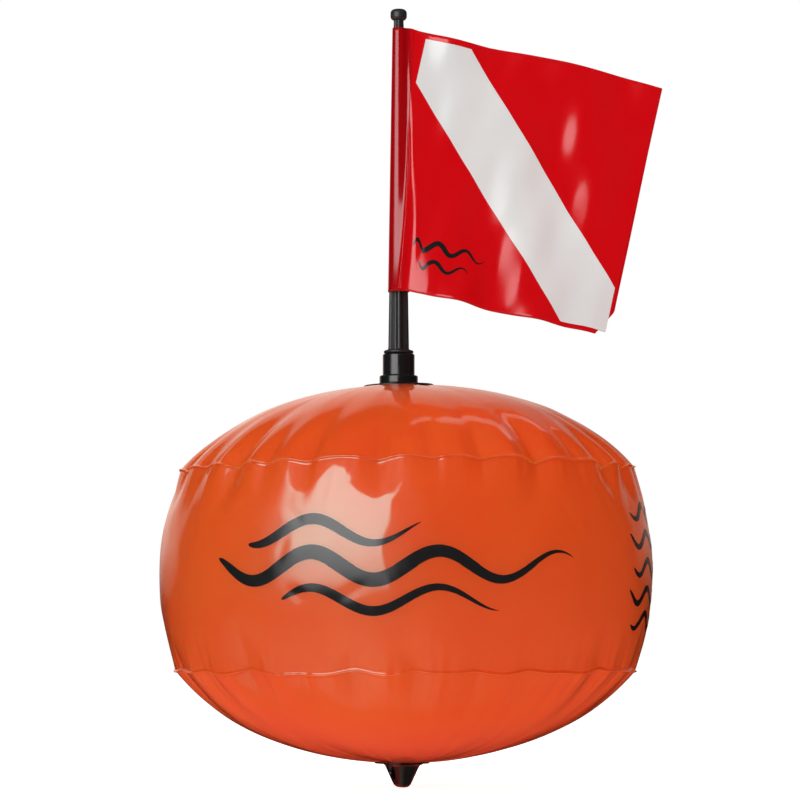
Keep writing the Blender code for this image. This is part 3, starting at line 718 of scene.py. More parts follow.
def float_surface(rows, degrees):
    """Points of the film, for some rows and places round it."""
    radius, height, out_r, out_z, step, side, dome = (rows[:, k][:, None] for k in range(7))
    angle = np.radians(degrees)
    above = side > 0
    in_upper = drawn_in(degrees, step, dome > 0, UPPER_FOLDS)
    in_lower = drawn_in(degrees, step, dome > 0, LOWER_FOLDS, LOWER_FOLD_WIDTH) * LOWER_SHARE
    push = ripples(angle, step) - FOLD_DEPTH * np.where(above, in_upper, in_lower)
    uneven = SWELL_DEPTH * summed(SWELL_WAVES, angle, height)
    uneven = uneven + DIMPLE_DEPTH * summed(DIMPLE_WAVES, angle, height)
    push = push + uneven * np.clip(step / CALM_REACH, 0, 1)
    push = push - creases(degrees, height) * (dome < 1)
    upper_weld = drawn_in(degrees, 0 * step, False, UPPER_FOLDS)
    lower_weld = drawn_in(degrees, 0 * step, False, LOWER_FOLDS, LOWER_FOLD_WIDTH)
    dip = np.where(above, -upper_weld, lower_weld)
    wave = SEAM_WAVE * dip * np.exp(-((step / SEAM_WAVE_REACH) ** 1.5))
    r = radius + out_r * push
    climb = np.clip((height - LOWER_SEAM) / (2 * HALF_BAND), 0, 1)
    crown = np.where(above, UPPER_CROWN, -LOWER_CROWN) * np.exp(-((step / CROWN_REACH) ** 2))
    raised = SHOULDER_RISE * climb * np.sin(angle) * np.clip(r / UPPER_RADIUS, 0, 1) ** 2
    raised = raised + crown * np.cos(angle) ** 2
    z = height + out_z * push + wave + raised
    x = axis_at(z) + r * np.sin(angle)
    return np.stack([x, -r * np.cos(angle), z], axis=-1)


# %% [markdown]
# A grid of points becomes a mesh in one step: each square takes two neighbours in its
# row and two in the next. The rows at both ends close on a single point.


# %% Grid to mesh
def add_object(name, points, faces, finish, smooth_angle):
    """A mesh that rides on the root. A smooth angle of 0 leaves no edge sharp."""
    mesh = bpy.data.meshes.new(name)
    mesh.from_pydata([tuple(map(float, p)) for p in points], [], faces)
    mesh.update()
    mesh.shade_smooth()
    if smooth_angle:
        mesh.set_sharp_from_angle(angle=math.radians(smooth_angle))
    mesh.materials.append(looks[finish])
    made = bpy.data.objects.new(name, mesh)
    bpy.context.scene.collection.objects.link(made)
    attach(made, "root")
    return made


def ring_faces(rows, columns):
    """Squares between rings of points, numbered row by row."""
    faces = []
    for row in range(rows - 1):
        for k in range(columns):
            n = (k + 1) % columns
            a, b = row * columns, (row + 1) * columns
            faces.append((a + k, a + n, b + n, b + k))
    return faces


def tidy_normals(made):
    """Makes all faces of a closed mesh point out."""
    shaped = bmesh.new()
    shaped.from_mesh(made.data)
    bmesh.ops.recalc_face_normals(shaped, faces=shaped.faces)
    shaped.to_mesh(made.data)
    shaped.free()


# %% Blow up the float
FLOAT_COLUMNS = 540


def make_float():
    rows = float_rows()
    degrees = np.arange(FLOAT_COLUMNS)[None, :] * 360 / FLOAT_COLUMNS
    points = float_surface(rows, degrees).reshape(-1, 3)
    faces = ring_faces(len(rows), FLOAT_COLUMNS)
    low, high = ((axis_at(z), 0, z) for z in (float_low[2], float_high[2]))
    points = np.vstack([points, low, high])
    bottom, top = len(points) - 2, len(points) - 1
    last = (len(rows) - 1) * FLOAT_COLUMNS
    for k in range(FLOAT_COLUMNS):
        n = (k + 1) % FLOAT_COLUMNS
        faces.append((bottom, n, k))
        faces.append((top, last + k, last + n))
    made = add_object("float_skin", points, faces, "orange_film", 0)
    tidy_normals(made)
    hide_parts("float_body")
    return made


float_skin = make_float()
print("float skin:", len(float_skin.data.polygons), "faces")

# %% [markdown]
# The flag is one piece of film. It lies flat from its fly end to a weld beside the
# mast, runs on round the mast as a sleeve, and comes back over its own front as a
# narrow hem. Such a piece is easiest to think of as a strip: at each height there is a
# line of points along the film, and the film's thickness comes last, from a Solidify
# modifier.
#
# Two lengths place every point: u along the sheet from the weld, and v down from the
# top edge.

# %% Sizes of the flag
FLAG_HOIST = 0.1971
FLAG_LENGTH = 0.1958
FLAG_CORNER_ALONG = 0.0110
FLAG_CORNER_UP = 0.0200
FLAG_BELOW_KNOB = 0.0058
FLAG_DROOP = 12.6
FLAG_SWEEP = 5.0
FLAG_BELLY = 0.0340
FLAG_WRAP = 90.0
FILM = 0.0005
SLEEVE_EASE = 0.0004
HEM_WIDTH = 0.0050
FLAG_BEND_TOP = 0.0100
FLAG_BEND_LOW = 0.0620
FLAG_PLANE_OUT = 0.0067
FLAG_BOW = 0.0028
WELD_STANDOFF = 0.0021
HANG_SHARE = 0.985
MAST_FOOT_REACH = 0.0077
MAST_HEAD_REACH = 0.0037
MAST_HEIGHT = 0.2462
KNOB_HEIGHT = 0.0084

KNOB_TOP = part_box("mast")[1][2]
KNOB_FOOT = KNOB_TOP - KNOB_HEIGHT
MAST_FOOT = KNOB_FOOT - MAST_HEIGHT
FLAG_TOP = KNOB_FOOT - FLAG_BELOW_KNOB
print("flag hangs from", round(FLAG_TOP, 4), "to", round(FLAG_TOP - FLAG_HOIST, 4))


# %% Where the flag's film lies
def mast_reach(height):
    """How far a rib stands from the mast's axis, at a height above the stop flange."""
    return MAST_FOOT_REACH + (MAST_HEAD_REACH - MAST_FOOT_REACH) * height / MAST_HEIGHT


def sleeve_radius(v):
    return mast_reach(FLAG_TOP - MAST_FOOT - v) + SLEEVE_EASE


def weld_side(v):
    """Where the weld line stands round the mast, as a unit vector."""
    turn = math.radians(FLAG_WRAP) * (max(v, 0.0) / FLAG_HOIST) ** 1.25
    return Vector((math.cos(turn), -math.sin(turn), 0))


def flag_directions():
    """Along the sheet and down the sheet."""
    droop, sweep = math.radians(FLAG_DROOP), math.radians(FLAG_SWEEP)
    flat = Vector((math.cos(droop), 0, -math.sin(droop))) * math.cos(sweep)
    down = Vector((-math.sin(droop), 0, -math.cos(droop))) * HANG_SHARE
    return flat + Vector((0, math.sin(sweep), 0)), down


ALONG, DOWN = flag_directions()


def flat_part(u, v):
    forward = -FLAG_BELLY * (max(v, 0.0) / FLAG_HOIST) ** 1.6
    free = max(0.0, u - FLAG_BEND_LOW) / (FLAG_LENGTH - FLAG_BEND_LOW)
    bow = FLAG_BOW * math.sin(math.pi * free) * max(0.0, 1 - v / FLAG_LENGTH) ** 2
    return Vector((FLAG_PLANE_OUT, forward, bow)) + ALONG * u + DOWN * v


def smooth_sheet(u, v):
    """The sheet's middle before it gets its waves: a bend at the mast, then nearly flat."""
    bend = FLAG_BEND_TOP + (FLAG_BEND_LOW - FLAG_BEND_TOP) * (max(v, 0.0) / FLAG_HOIST) ** 1.5
    if u >= bend:
        return flat_part(u, v)
    start = weld_side(v) * (sleeve_radius(v) + WELD_STANDOFF) + Vector((0, 0, -v))
    end = flat_part(bend, v)
    pull = 1.25 * (end - start).length
    leave, arrive = weld_side(v) * pull, ALONG.normalized() * pull
    t = u / bend
    return (
        start * (2 * t ** 3 - 3 * t ** 2 + 1)
        + leave * (t ** 3 - 2 * t ** 2 + t)
        + end * (3 * t ** 2 - 2 * t ** 3)
        + arrive * (t ** 3 - t ** 2)
    )


# %% [markdown]
# Film that has hung from a stick keeps soft waves, which run down the flag side by
# side. Their slopes are small, but gloss shows them: each one catches the soft box
# along a narrow streak. They grow from nothing at the weld, where the film is held.

# %% Waves in the film
FLAG_WAVE_DEPTH = 0.0017
FlagWave = namedtuple("FlagWave", "length slant start share")
IN_THE_SHEET = (
    FlagWave(0.052, 0.25, -2.5, 1.0), FlagWave(0.031, -0.20, 2.0, 0.35), FlagWave(0.083, 0.55, 4.4, 1.1),
)
EDGE_WAVE = FlagWave(0.085, 0.0, -0.012, 0.0050)
EDGE_WAVE_ALONG = 0.09
EDGE_WAVE_DOWN = 0.030
HELD_BY_WELD = 0.045


def flag_wave(u, v):
    """How far the film stands forward of the smooth sheet."""
    loose = min(1.0, u / HELD_BY_WELD)
    total = 0.0
    for wave in IN_THE_SHEET:
        total += wave.share * math.sin(math.tau * (u - wave.slant * v) / wave.length + wave.start)
    lower = 0.35 + 0.65 * min(1.0, max(0.0, v / FLAG_HOIST)) ** 0.8
    edge = EDGE_WAVE.share * math.sin(math.tau * (u + EDGE_WAVE.start) / EDGE_WAVE.length)
    edge *= math.exp(-u / EDGE_WAVE_ALONG) * math.exp(-((max(v, 0.0) / EDGE_WAVE_DOWN) ** 1.5))
    return loose * loose * (3 - 2 * loose) * (FLAG_WAVE_DEPTH * total * lower + edge)


def front_of(sheet, u, v):
    """The unit vector out of a sheet's front face."""
    step = 0.0005
    across = sheet(u + step, v) - sheet(max(0.0, u - step), v)
    down = sheet(u, v + step) - sheet(u, max(0.0, v - step))
    return down.cross(across).normalized()


def sheet_point(u, v):
    """A point of the sheet's middle, u from the weld line and v below the top edge."""
    return smooth_sheet(u, v) + front_of(smooth_sheet, u, v) * flag_wave(u, v)


def flag_place(point):
    """From the flag's own frame, at the mast's axis and the top edge, to the world."""
    return Vector((MAST_AT, 0, FLAG_TOP)) + point


def over_sheet(u, v, lift):
    """A point in the world that stands off the sheet's middle, to its front."""
    return flag_place(sheet_point(u, v) + front_of(sheet_point, u, v) * lift)


# %% [markdown]
# The cut of the flag is a rectangle with its lower fly corner taken off. At each height
# its line of film starts at the fly end, follows the waves to the weld, goes round the
# mast as a circle that runs out straight to the weld, and ends in the hem.

# %% Cut and hang the flag
FLAG_ROWS = 84
SHEET_COLUMNS = 84
SLEEVE_COLUMNS = 56
HEM_COLUMNS = 4
LAYER = 1.08 * FILM


def fly_end(v):
    """Where the sheet ends, which is short of its full length at the cut lower corner."""
    share = max(0.0, (v - FLAG_HOIST + FLAG_CORNER_UP) / FLAG_CORNER_UP)
    return FLAG_LENGTH - FLAG_CORNER_ALONG * share


def sleeve_line(v):
    """The film's way round the mast, from the back of the weld to its front."""
    around = sleeve_radius(v) + FILM / 2
    stand = sleeve_radius(v) + WELD_STANDOFF
    free = math.acos(around / stand)
    side = weld_side(v)
    first = math.atan2(side.y, side.x)
    line = []
    for k in range(1, SLEEVE_COLUMNS):
        turn = math.tau * k / SLEEVE_COLUMNS
        near = min(turn, math.tau - turn)
        radius = around / math.cos(free - near) if near < free else around
        angle = first + turn
        line.append(Vector((radius * math.cos(angle), radius * math.sin(angle), -v)))
    return line


def film_line(v):
    """All points of the film at one height, from the fly end round the mast to the hem."""
    end = fly_end(v)
    line = [sheet_point(end * k / SHEET_COLUMNS, v) for k in range(SHEET_COLUMNS, -1, -1)]
    line = [flag_place(point) for point in line + sleeve_line(v)]
    return line + [over_sheet(HEM_WIDTH * k / HEM_COLUMNS, v, LAYER) for k in range(HEM_COLUMNS + 1)]


def make_flag():
    lines = [film_line(FLAG_HOIST * k / FLAG_ROWS) for k in range(FLAG_ROWS + 1)]
    count = len(lines[0])
    faces = []
    for row in range(FLAG_ROWS):
        for k in range(count - 1):
            a, b = row * count + k, (row + 1) * count + k
            faces.append((a, a + 1, b + 1, b))
    made = add_object("flag_film", [p for line in lines for p in line], faces, "red_film", 0)
    thick = made.modifiers.new("Thickness", "SOLIDIFY")
    thick.thickness = FILM
    thick.offset = 0.0
    thick.use_even_offset = True
    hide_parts("flag_sheet")
    return made


flag_film = make_flag()
print("flag film:", len(flag_film.data.polygons), "faces before it gets its thickness")

# %% [markdown]
# The stripe is a second film, welded on each face. It is cut flat first, as a hexagon,
# and the flat cut is sliced into small squares with bisect planes. Only then is each
# point carried to its place on the waving sheet, so the stripe follows every wave and
# its edges stay straight on the film.

# %% Stripes
STRIPE_FILM = 0.0003
STRIPE_GAP = 0.00002
STRIPE_CUT = 0.0345
STRIPE_HOIST_MARGIN = 0.0150
STRIPE_MARGIN = 0.0048
STRIPE_FLY_MARGIN = 0.0035
STRIPE_SQUARE = 0.0027


def stripe_outline():
    left, right = STRIPE_HOIST_MARGIN, FLAG_LENGTH - STRIPE_FLY_MARGIN
    top, low = STRIPE_MARGIN, FLAG_HOIST - STRIPE_FLY_MARGIN
    return [
        (left, top),
        (left + STRIPE_CUT, top),
        (right, low - STRIPE_CUT),
        (right, low),
        (right - STRIPE_CUT, low),
        (left, top + STRIPE_CUT),
    ]


def cut_flat(outline):
    """A flat outline sliced into squares: its points, faces and rim edges."""
    blank = bmesh.new()
    blank.faces.new([blank.verts.new((u, v, 0)) for u, v in outline])
    for axis, normal in ((0, Vector((1, 0, 0))), (1, Vector((0, 1, 0)))):
        steps = [corner[axis] / STRIPE_SQUARE for corner in outline]
        for k in range(math.ceil(min(steps)), math.floor(max(steps)) + 1):
            bmesh.ops.bisect_plane(
                blank, geom=blank.verts[:] + blank.edges[:] + blank.faces[:],
                plane_co=normal * (k * STRIPE_SQUARE), plane_no=normal, dist=1e-6,
            )
    blank.verts.index_update()
    flat = [(v.co.x, v.co.y) for v in blank.verts]
    faces = [[v.index for v in f.verts] for f in blank.faces]
    rim = [[v.index for v in e.verts] for e in blank.edges if e.is_boundary]
    blank.free()
    return flat, faces, rim


def make_stripe(name, side):
    """The white film on the front (+1) or the back (-1) of the flag."""
    flat, faces, rim = cut_flat(stripe_outline())
    under = side * (FILM / 2 + STRIPE_GAP)
    over = under + side * STRIPE_FILM
    points = [over_sheet(u, v, lift) for lift in (under, over) for u, v in flat]
    count = len(flat)
    skins = faces + [[i + count for i in reversed(face)] for face in faces]
    walls = [[a, b, b + count, a + count] for a, b in rim]
    made = add_object(name, points, skins + walls, "white_film", 40)
    tidy_normals(made)
    return made


stripe_front = make_stripe("stripe_front", 1)
stripe_back = make_stripe("stripe_back", -1)
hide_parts("flag_stripe_front")
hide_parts("flag_stripe_back")
print("stripe films:", len(stripe_front.data.polygons), "faces each")

# %% [markdown]
# The black fittings came out of steel moulds. Most of them are turned shapes, so each
# one starts as a profile of radius and height pairs. Every edge that a mould leaves is
# slightly round, and it is this rounding that catches the light, so the arcs get
# plenty of steps.

# %% Turned shapes
TURNED_SEGMENTS = 96


def arc(centre, radius, start, end, steps):
    """Radius and height pairs along an arc, with its angles in degrees."""
    turns = [math.radians(start + (end - start) * k / steps) for k in range(steps + 1)]
    return [(centre[0] + radius * math.cos(t), centre[1] + radius * math.sin(t)) for t in turns]


def turned_rings(profile, segments=TURNED_SEGMENTS):
    """Rings about Z. A pair on the axis gives a ring of one point."""
    rings = []
    for radius, height in profile:
        count = 1 if radius < 1e-9 else segments
        turns = [math.tau * k / segments for k in range(count)]
        rings.append([Vector((radius * math.cos(t), radius * math.sin(t), height)) for t in turns])
    return rings


def skin_over(rings, start=0):
    """Points and faces through rings, numbered from start."""
    points, faces, firsts = [], [], []
    for ring in rings:
        firsts.append(start + len(points))
        points += ring
    for low, high, first, above in zip(rings, rings[1:], firsts, firsts[1:]):
        count = max(len(low), len(high))
        for k in range(count):
            n = (k + 1) % count
            below = [first + k, first + n] if len(low) > 1 else [first]
            over = [above + n, above + k] if len(high) > 1 else [above]
            faces.append(below + over)
    return points, faces


def moulded(name, shells, place, finish):
    """One object from shells of rings, moved to its place."""
    points, faces = [], []
    for rings in shells:
        more_points, more_faces = skin_over(rings, len(points))
        points += more_points
        faces += more_faces
    made = add_object(name, [place @ p for p in points], faces, finish, 35)
    tidy_normals(made)
    return made


# %% Sizes of the socket and the mast
SOCKET_FLANGE = (0.0258, 0.0009)
SOCKET_RING = (0.0142, 0.0059)
SOCKET_CUP = (0.0118, 0.0160)
SOCKET_FLOOR = 0.0020
SOCKET_EDGE = 0.0012
SOCKET_FILLET = 0.0008
CUP_FILLET = 0.0005
MOUTH_EDGE = 0.0004
SEAT_GAP = 0.0003
FIT_CLEARANCE = 0.0003
MAST_TURN = 5.0
STOP_RADIUS = 0.0110
STOP_THICKNESS = 0.0024
STOP_EDGE = 0.0004
SPIGOT_RADIUS = 0.0070
SPIGOT_EDGE = 0.0009
RIB_HALF_THICKNESS = 0.0017
RIB_ROOT_FILLET = 0.0014
RIB_SHARE = 0.42
RIB_FLARE = 0.5
KNOB_RADIUS = 0.0061
KNOB_ROUNDING = 0.0030
SOCKET_FOOT = float_high[2] + SEAT_GAP
FOOT_FILLET = 0.0020

# %% [markdown]
# The socket is welded to the top of the float by a thin flange, which bends with the
# film. Its ring and cup are stiff and stand upright.


# %% Socket
def film_drop(x, y):
    """How far the top disc lies below its highest point, at a place across the float."""
    away = math.hypot(x - axis_at(float_high[2]), y)
    return TOP_RISE - dome_height(away, TOP_RISE, TOP_SINK, UPPER_RADIUS)


def make_socket():
    reach, thin = SOCKET_FLANGE
    ring, cup, edge = SOCKET_RING[0], SOCKET_CUP[0], SOCKET_EDGE
    ring_top = thin + SOCKET_RING[1]
    cup_top = ring_top + SOCKET_CUP[1]
    bore = SPIGOT_RADIUS + FIT_CLEARANCE
    profile = [(0, 0)] + [(reach * k / 12, 0) for k in range(1, 12)]
    profile += arc((reach - thin / 2, thin / 2), thin / 2, -80, 80, 6)
    flat = reach - ring - SOCKET_FILLET - SOCKET_EDGE
    profile += [(ring + SOCKET_FILLET + flat * k / 8, thin) for k in range(8, -1, -1)]
    profile += arc((ring + SOCKET_FILLET, thin + SOCKET_FILLET), SOCKET_FILLET, -110, -180, 5)
    profile += arc((ring - edge, ring_top - edge), edge, 0, 90, 8)
    profile += arc((cup + CUP_FILLET, ring_top + CUP_FILLET), CUP_FILLET, -90, -180, 4)
    profile += arc((cup - edge, cup_top - edge), edge, 0, 90, 8)
    profile += arc((bore + MOUTH_EDGE, cup_top - MOUTH_EDGE), MOUTH_EDGE, 90, 180, 4)
    profile += [(bore, SOCKET_FLOOR), (0, SOCKET_FLOOR)]
    rings = turned_rings(profile)
    for circle in rings:
        for point in circle:
            if math.hypot(point.x, point.y) > ring + SEAT_GAP:
                point.z -= film_drop(point.x + MAST_AT, point.y)
    place = Matrix.Translation((MAST_AT, 0, SOCKET_FOOT))
    made = moulded("socket", [rings], place, "black_moulding")
    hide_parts("mast_socket")
    return made


socket = make_socket()
print("socket:", len(socket.data.polygons), "faces")

# %% [markdown]
# The mast is a cross in section, because a mould cannot cool a thick rod evenly. Four
# ribs keep it stiff, and each rib has a round edge and a fillet at its root. A stop
# flange rests on the cup, and a spigot under it goes into the bore. The ribs widen
# where they meet the flange.


# %% Mast
def cross_section(reach, height, wider=0.0):
    """A cross with round rib ends and filleted roots, as a ring of points."""
    web = min(RIB_HALF_THICKNESS, RIB_SHARE * reach) + wider / 2
    root = min(RIB_ROOT_FILLET, 0.8 * (reach - 2 * web))
    reach = reach + wider
    ring = []
    for quarter in range(4):
        turn = Matrix.Rotation(math.radians(90 * quarter), 3, "Z")
        line = [(reach - web, -web)] + arc((reach - web, 0), web, -80, 80, 12)
        line += [(reach - web, web)]
        line += arc((web + root, web + root), root, -90, -180, 7)
        ring += [turn @ Vector((x, y, height)) for x, y in line]
    return ring


def mast_rings():
    heights = [FOOT_FILLET * (k / 8) ** 1.5 for k in range(9)]
    heights += [FOOT_FILLET + (MAST_HEIGHT - FOOT_FILLET) * k / 24 for k in range(1, 25)]
    rings = [[Vector((0, 0, -STOP_THICKNESS / 2))]]
    for height in heights:
        wider = RIB_FLARE * FOOT_FILLET * max(0.0, 1 - height / FOOT_FILLET) ** 2.5
        rings.append(cross_section(mast_reach(height), height, wider))
    rings.append([Vector((0, 0, MAST_HEIGHT + KNOB_ROUNDING / 2))])
    return rings


def make_mast():
    foot = SOCKET_FOOT + SOCKET_FLOOR + SEAT_GAP - MAST_FOOT
    half = STOP_THICKNESS / 2
    stop = [(0, foot), (SPIGOT_RADIUS - SPIGOT_EDGE, foot), (SPIGOT_RADIUS, foot + SPIGOT_EDGE)]
    stop += [(SPIGOT_RADIUS, -STOP_THICKNESS)]
    stop += arc((STOP_RADIUS - half, -half), half, -80, 80, 12)
    stop += [(STOP_RADIUS - half - STOP_EDGE, 0), (0, 0)]
    core, top = KNOB_RADIUS - KNOB_ROUNDING, MAST_HEIGHT + KNOB_HEIGHT
    knob = [(0, MAST_HEIGHT)]
    knob += arc((core, MAST_HEIGHT + KNOB_ROUNDING), KNOB_ROUNDING, -90, 0, 10)
    knob += arc((core, top - KNOB_ROUNDING), KNOB_ROUNDING, 0, 88, 10)
    knob += [(0, top)]
    place = Matrix.Translation((MAST_AT, 0, MAST_FOOT))
    place = place @ Matrix.Rotation(math.radians(MAST_TURN), 4, "Z")
    shells = [mast_rings(), turned_rings(stop), turned_rings(knob, 64)]
    made = moulded("ribbed_mast", shells, place, "mast_moulding")
    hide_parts("mast")
    return made


mast = make_mast()
print("mast:", len(mast.data.polygons), "faces")

# %% [markdown]
# The lug under the float is a blunt wedge with a hole across it for the line. The hole
# is cut with a Boolean, whose tool is a turned shape that flares at both ends, so a line
# never rubs on a sharp edge.

# %% Sizes of the lug
EYE_RADIUS = 0.00525
EYE_FLARE = 0.0020
EYE_BELL = 1.3
EYE_CUT_REACH = 2.2
LUG_TURN = 20.0
LUG_HALF_THICKNESS = 0.0080
LUG_HALF_WIDTH = 0.0145
LUG_GROWTH = 0.259
LUG_TIP = 0.0110
LUG_TIP_ROUNDING = 0.0028
LUG_ROOT = 0.0058
LUG_FILLET = (0.0010, 0.0016)
LUG_CORNERS = 0.55
LUG_FLANGE = (0.0200, 0.0009, 0.0007)


# %% Lug
def lug_section(height, inset=0.0):
    """A rounded rectangle that grows with height."""
    grow = 1 + LUG_GROWTH * height / LUG_ROOT
    fillet, from_root = LUG_FILLET
    inset = inset - fillet * max(0.0, 1 - (LUG_ROOT - height) / from_root) ** 2.5
    across = LUG_HALF_THICKNESS * grow - inset
    along = LUG_HALF_WIDTH * grow - inset
    ring = []
    for k in range(TURNED_SEGMENTS):
        turn = math.tau * (k + 0.5) / TURNED_SEGMENTS
        c, s = math.cos(turn), math.sin(turn)
        x = across * math.copysign(abs(c) ** LUG_CORNERS, c)
        y = along * math.copysign(abs(s) ** LUG_CORNERS, s)
        ring.append(Vector((x, y, height)))
    return ring


def lug_rings():
    rings = [[Vector((0, 0, -LUG_TIP))]]
    for k in range(1, 9):
        turn = math.radians(90 * k / 8)
        rise = LUG_TIP_ROUNDING * (1 - math.cos(turn))
        inset = LUG_TIP_ROUNDING * (1 - math.sin(turn))
        rings.append(lug_section(-LUG_TIP + rise, inset))
    low = -LUG_TIP + LUG_TIP_ROUNDING
    for k in range(1, 25):
        rings.append(lug_section(low + (LUG_ROOT - low) * k / 24))
    top = LUG_ROOT + LUG_FLANGE[1] / 2
    return rings + [lug_section(top), [Vector((0, 0, top))]]


def carve(target, rings, turn, operation):
    """Joins or cuts with a second shape, and keeps only the result."""
    points, faces = skin_over(rings)
    mesh = bpy.data.meshes.new("tool")
    mesh.from_pydata([turn @ p for p in points], [], faces)
    tool = bpy.data.objects.new("tool", mesh)
    bpy.context.scene.collection.objects.link(tool)
    tidy_normals(tool)
    change = target.modifiers.new(operation, "BOOLEAN")
    change.operation, change.solver, change.object = operation, "EXACT", tool
    seen = target.evaluated_get(bpy.context.evaluated_depsgraph_get())
    shape = bpy.data.meshes.new_from_object(seen)
    target.modifiers.clear()
    target.data = shape
    bpy.data.objects.remove(tool)
    shape.shade_smooth()
    shape.set_sharp_from_angle(angle=math.radians(35))


def make_lug():
    turn = Matrix.Rotation(math.radians(LUG_TURN), 4, "Z")
    made = moulded("lug", [lug_rings()], turn, "black_moulding")
    reach, thin, dish = LUG_FLANGE
    over = LUG_ROOT + thin
    disc = [(reach * k / 10, over + dish * (k / 10) ** 2) for k in range(11)]
    disc += [(r, z - thin) for r, z in reversed(disc[1:])] + [(0, LUG_ROOT)]
    carve(made, turned_rings(disc), turn, "UNION")
    face, beyond = LUG_HALF_THICKNESS, EYE_CUT_REACH * LUG_HALF_THICKNESS
    steps = [k / 10 for k in range(11)]
    bell = [(EYE_RADIUS + EYE_FLARE * t ** 2, face - EYE_FLARE * (1 - EYE_BELL * t)) for t in steps]
    half = bell + [(EYE_RADIUS + EYE_FLARE, beyond), (0, beyond)]
    profile = [(r, -z) for r, z in reversed(half)] + half
    across = turn @ Matrix.Rotation(math.radians(90), 4, "Y")
    carve(made, turned_rings(profile), across, "DIFFERENCE")
    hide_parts("tow_lug")
    return made


lug = make_lug()
print("lug:", len(lug.data.polygons), "faces")

# %% [markdown]
# The bag is blown up through a valve, which the photograph does not show. It sits on
# the rear of the top disc: a soft stem of the same film, closed by a plug with a tab.

# %% Valve
VALVE_AT = 0.0850
VALVE_FLANGE = (0.0160, 0.0008)
VALVE_STEM = (0.0065, 0.0085)
VALVE_BORE = 0.0042
VALVE_FILLET = 0.0012
VALVE_EDGE = 0.0006
PLUG = (0.0075, 0.0026)
PLUG_EDGE = 0.0008
PLUG_SHANK = 0.0060
TAB = (0.0070, 0.0032, 0.0016)
TAB_ROOT = 0.6
TAB_EDGE = 0.0003


def valve_place():
    """The rear of the top disc, with Z out of the film."""
    step = 0.0005
    height = dome_height(VALVE_AT, TOP_RISE, TOP_SINK, UPPER_RADIUS)
    beyond = dome_height(VALVE_AT + step, TOP_RISE, TOP_SINK, UPPER_RADIUS)
    tilt = math.atan((beyond - height) / step)
    there = (axis_at(UPPER_SEAM + height), VALVE_AT, UPPER_SEAM + height)
    return Matrix.Translation(there) @ Matrix.Rotation(tilt, 4, "X")


def tab_rings(low):
    """The plug's pull tab: a flat tongue with a round end."""
    reach, half, thick = TAB
    tip = PLUG[0] + reach - half
    root = PLUG[0] * TAB_ROOT
    outline = [(root, half)] + arc((tip, 0), half, 90, -90, 24) + [(root, -half)]
    rings = []
    for rise, inset in ((0, TAB_EDGE), (TAB_EDGE, 0), (thick - TAB_EDGE, 0), (thick, TAB_EDGE)):
        share = 1 - inset / half
        rings.append([Vector((-y * share, x - inset, low + rise)) for x, y in outline])
    bottom = sum(rings[0], Vector()) / len(outline)
    top = sum(rings[-1], Vector()) / len(outline)
    return [[bottom]] + rings + [[top]]


def make_valve():
    place = valve_place()
    reach, thin = VALVE_FLANGE
    stem, tall = VALVE_STEM
    top = SEAT_GAP + thin + tall
    floor = top - PLUG_SHANK - 4 * SEAT_GAP
    base = [(0, SEAT_GAP), (reach, SEAT_GAP)]
    base += arc((reach - thin / 2, SEAT_GAP + thin / 2), thin / 2, 0, 80, 4)
    base += arc((stem + VALVE_FILLET, SEAT_GAP + thin + VALVE_FILLET), VALVE_FILLET, -90, -180, 8)
    base += arc((stem - VALVE_EDGE, top - VALVE_EDGE), VALVE_EDGE, 0, 90, 5)
    base += [(VALVE_BORE, top), (VALVE_BORE, floor), (0, floor)]
    made = moulded("valve_stem", [turned_rings(base, 72)], place, "orange_film")
    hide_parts("valve_base")
    shank, seat = VALVE_BORE - FIT_CLEARANCE, top + SEAT_GAP
    lid = seat + PLUG[1]
    plug = [(0, top - PLUG_SHANK), (shank - PLUG_EDGE / 2, top - PLUG_SHANK)]
    plug += [(shank, top - PLUG_SHANK + PLUG_EDGE), (shank, seat), (PLUG[0] - TAB_EDGE, seat)]
    plug += arc((PLUG[0] - PLUG_EDGE, lid - PLUG_EDGE), PLUG_EDGE, 0, 90, 6) + [(0, lid)]
    shells = [turned_rings(plug, 72), tab_rings(seat + (PLUG[1] - TAB[2]) / 2)]
    lid_made = moulded("valve_lid", shells, place, "orange_film")
    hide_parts("valve_plug")
    return made, lid_made


valve = make_valve()
print("valve:", [len(piece.data.polygons) for piece in valve], "faces")

# %% [markdown]
# The float carries a print in black ink: here plain water waves, as brush strokes that
# taper at both ends. A print is film as well, only thinner. Each stroke is a flat strip
# of small squares, and a placing rule carries the strip to the bag or to the flag.

# %% Brush strokes
INK = 0.00010
INK_LIFT = 0.00008
STROKE_STEPS = 150
STROKE_ACROSS = 6
STROKE_TIP = 0.02
STROKE_SWELL = 1.9
SWELLS_AS = 0.45
TAPERS_AS = 0.85


def wave_stroke(start, end, level, rise, length, thick):
    """Rows of flat points along one wavy stroke, each row across the brush."""
    strip = []
    for k in range(STROKE_STEPS + 1):
        t = k / STROKE_STEPS
        at = start + (end - start) * t
        turn = math.tau * at / length
        slope = rise * math.tau * math.cos(turn) / length
        middle = Vector((at, level + rise * math.sin(turn)))
        across = Vector((-slope, 1)).normalized()
        wide = thick * (STROKE_TIP + STROKE_SWELL * t ** SWELLS_AS * (1 - t) ** TAPERS_AS)
        steps = [j / STROKE_ACROSS - 0.5 for j in range(STROKE_ACROSS + 1)]
        strip.append([middle + across * (wide * step) for step in steps])
    return strip


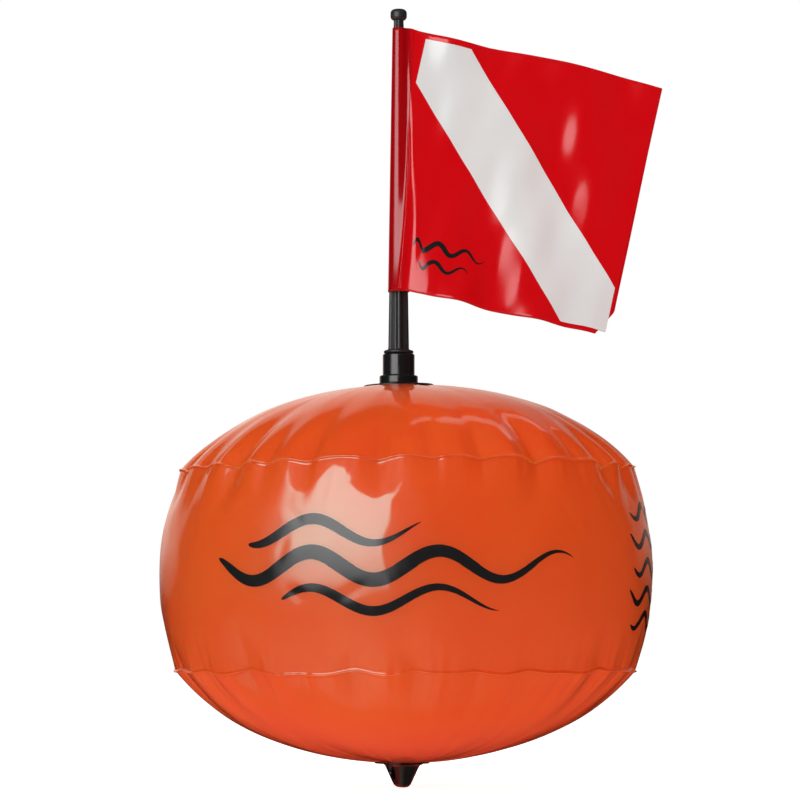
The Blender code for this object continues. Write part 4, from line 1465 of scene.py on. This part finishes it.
def printed(name, strips, place):
    """Ink on a surface. The rule place(flat, lift) puts flat points on that surface."""
    points, faces = [], []
    wide = STROKE_ACROSS + 1
    for strip in strips:
        flat = [point for row in strip for point in row]
        start, count = len(points), len(flat)
        points += place(flat, INK_LIFT)
        points += place(flat, INK_LIFT + INK)
        squares = [
            [start + i, start + i + 1, start + i + 1 + wide, start + i + wide]
            for row in range(STROKE_STEPS) for i in range(row * wide, row * wide + STROKE_ACROSS)
        ]
        faces += squares + [[i + count for i in reversed(square)] for square in squares]
        last = STROKE_STEPS * wide
        rim = [row * wide for row in range(STROKE_STEPS)] + list(range(last, last + wide))
        rim += [row * wide + STROKE_ACROSS for row in range(STROKE_STEPS - 1, -1, -1)]
        rim += list(range(STROKE_ACROSS - 1, 0, -1))
        for i, n in zip(rim, rim[1:] + rim[:1]):
            faces.append([start + i, start + n, start + n + count, start + i + count])
    made = add_object(name, points, faces, "black_moulding", 40)
    tidy_normals(made)
    return made


# %% [markdown]
# On the bag, a stroke's first length runs round the belly and its second one up the
# band. On the flag they run along the sheet and down it.


# %% Prints
def on_band(flat, lift):
    """Points of the band, from lengths round the belly and up from its middle."""
    rows, degrees = [], []
    for along, up in flat:
        out = band_out(up)
        place = band_radius(up) + out[0] * lift, FLOAT_MIDDLE + up + out[1] * lift
        rows.append([*place, *out, HALF_BAND - abs(up), 1 if up > 0 else -1, 0])
        degrees.append([math.degrees(along / BELLY_RADIUS)])
    return [Vector(point) for point in float_surface(np.array(rows), np.array(degrees))[:, 0]]


def on_flag(flat, lift):
    return [over_sheet(u, v, FILM / 2 + lift) for u, v in flat]


FRONT_WAVES = (
    wave_stroke(-0.118, 0.010, 0.0235, 0.0085, 0.090, 0.0090),
    wave_stroke(-0.146, 0.126, 0.0, 0.0095, 0.090, 0.0120),
    wave_stroke(-0.090, 0.066, -0.0225, 0.0080, 0.090, 0.0080),
)
SIDE_WAVES = [
    wave_stroke(0.200 + shift, 0.285 + shift, up, 0.0055, 0.045, 0.0055)
    for up, shift in ((0.040, 0.004), (0.020, -0.002), (0.0, 0.003), (-0.020, -0.003), (-0.038, 0.006))
]
FLAG_WAVES = (
    wave_stroke(0.030, 0.094, 0.161, 0.0036, 0.021, 0.0046),
    wave_stroke(0.040, 0.084, 0.175, 0.0032, 0.021, 0.0036),
)
front_print = printed("front_waves", FRONT_WAVES, on_band)
side_print = printed("side_waves", SIDE_WAVES, on_band)
flag_print = printed("flag_waves", FLAG_WAVES, on_flag)
print("prints:", [len(p.data.polygons) for p in (front_print, side_print, flag_print)], "faces")

# %% [markdown]
# Last comes the flag's flat size before it was hung: its length, the cut round the
# sleeve and the hem, by its hoist.

sleeve_cut = math.tau * (sleeve_radius(FLAG_HOIST / 2) + FILM)
flat_width = FLAG_LENGTH + sleeve_cut + HEM_WIDTH
print("flag is cut from", round(flat_width, 3), "by", FLAG_HOIST)
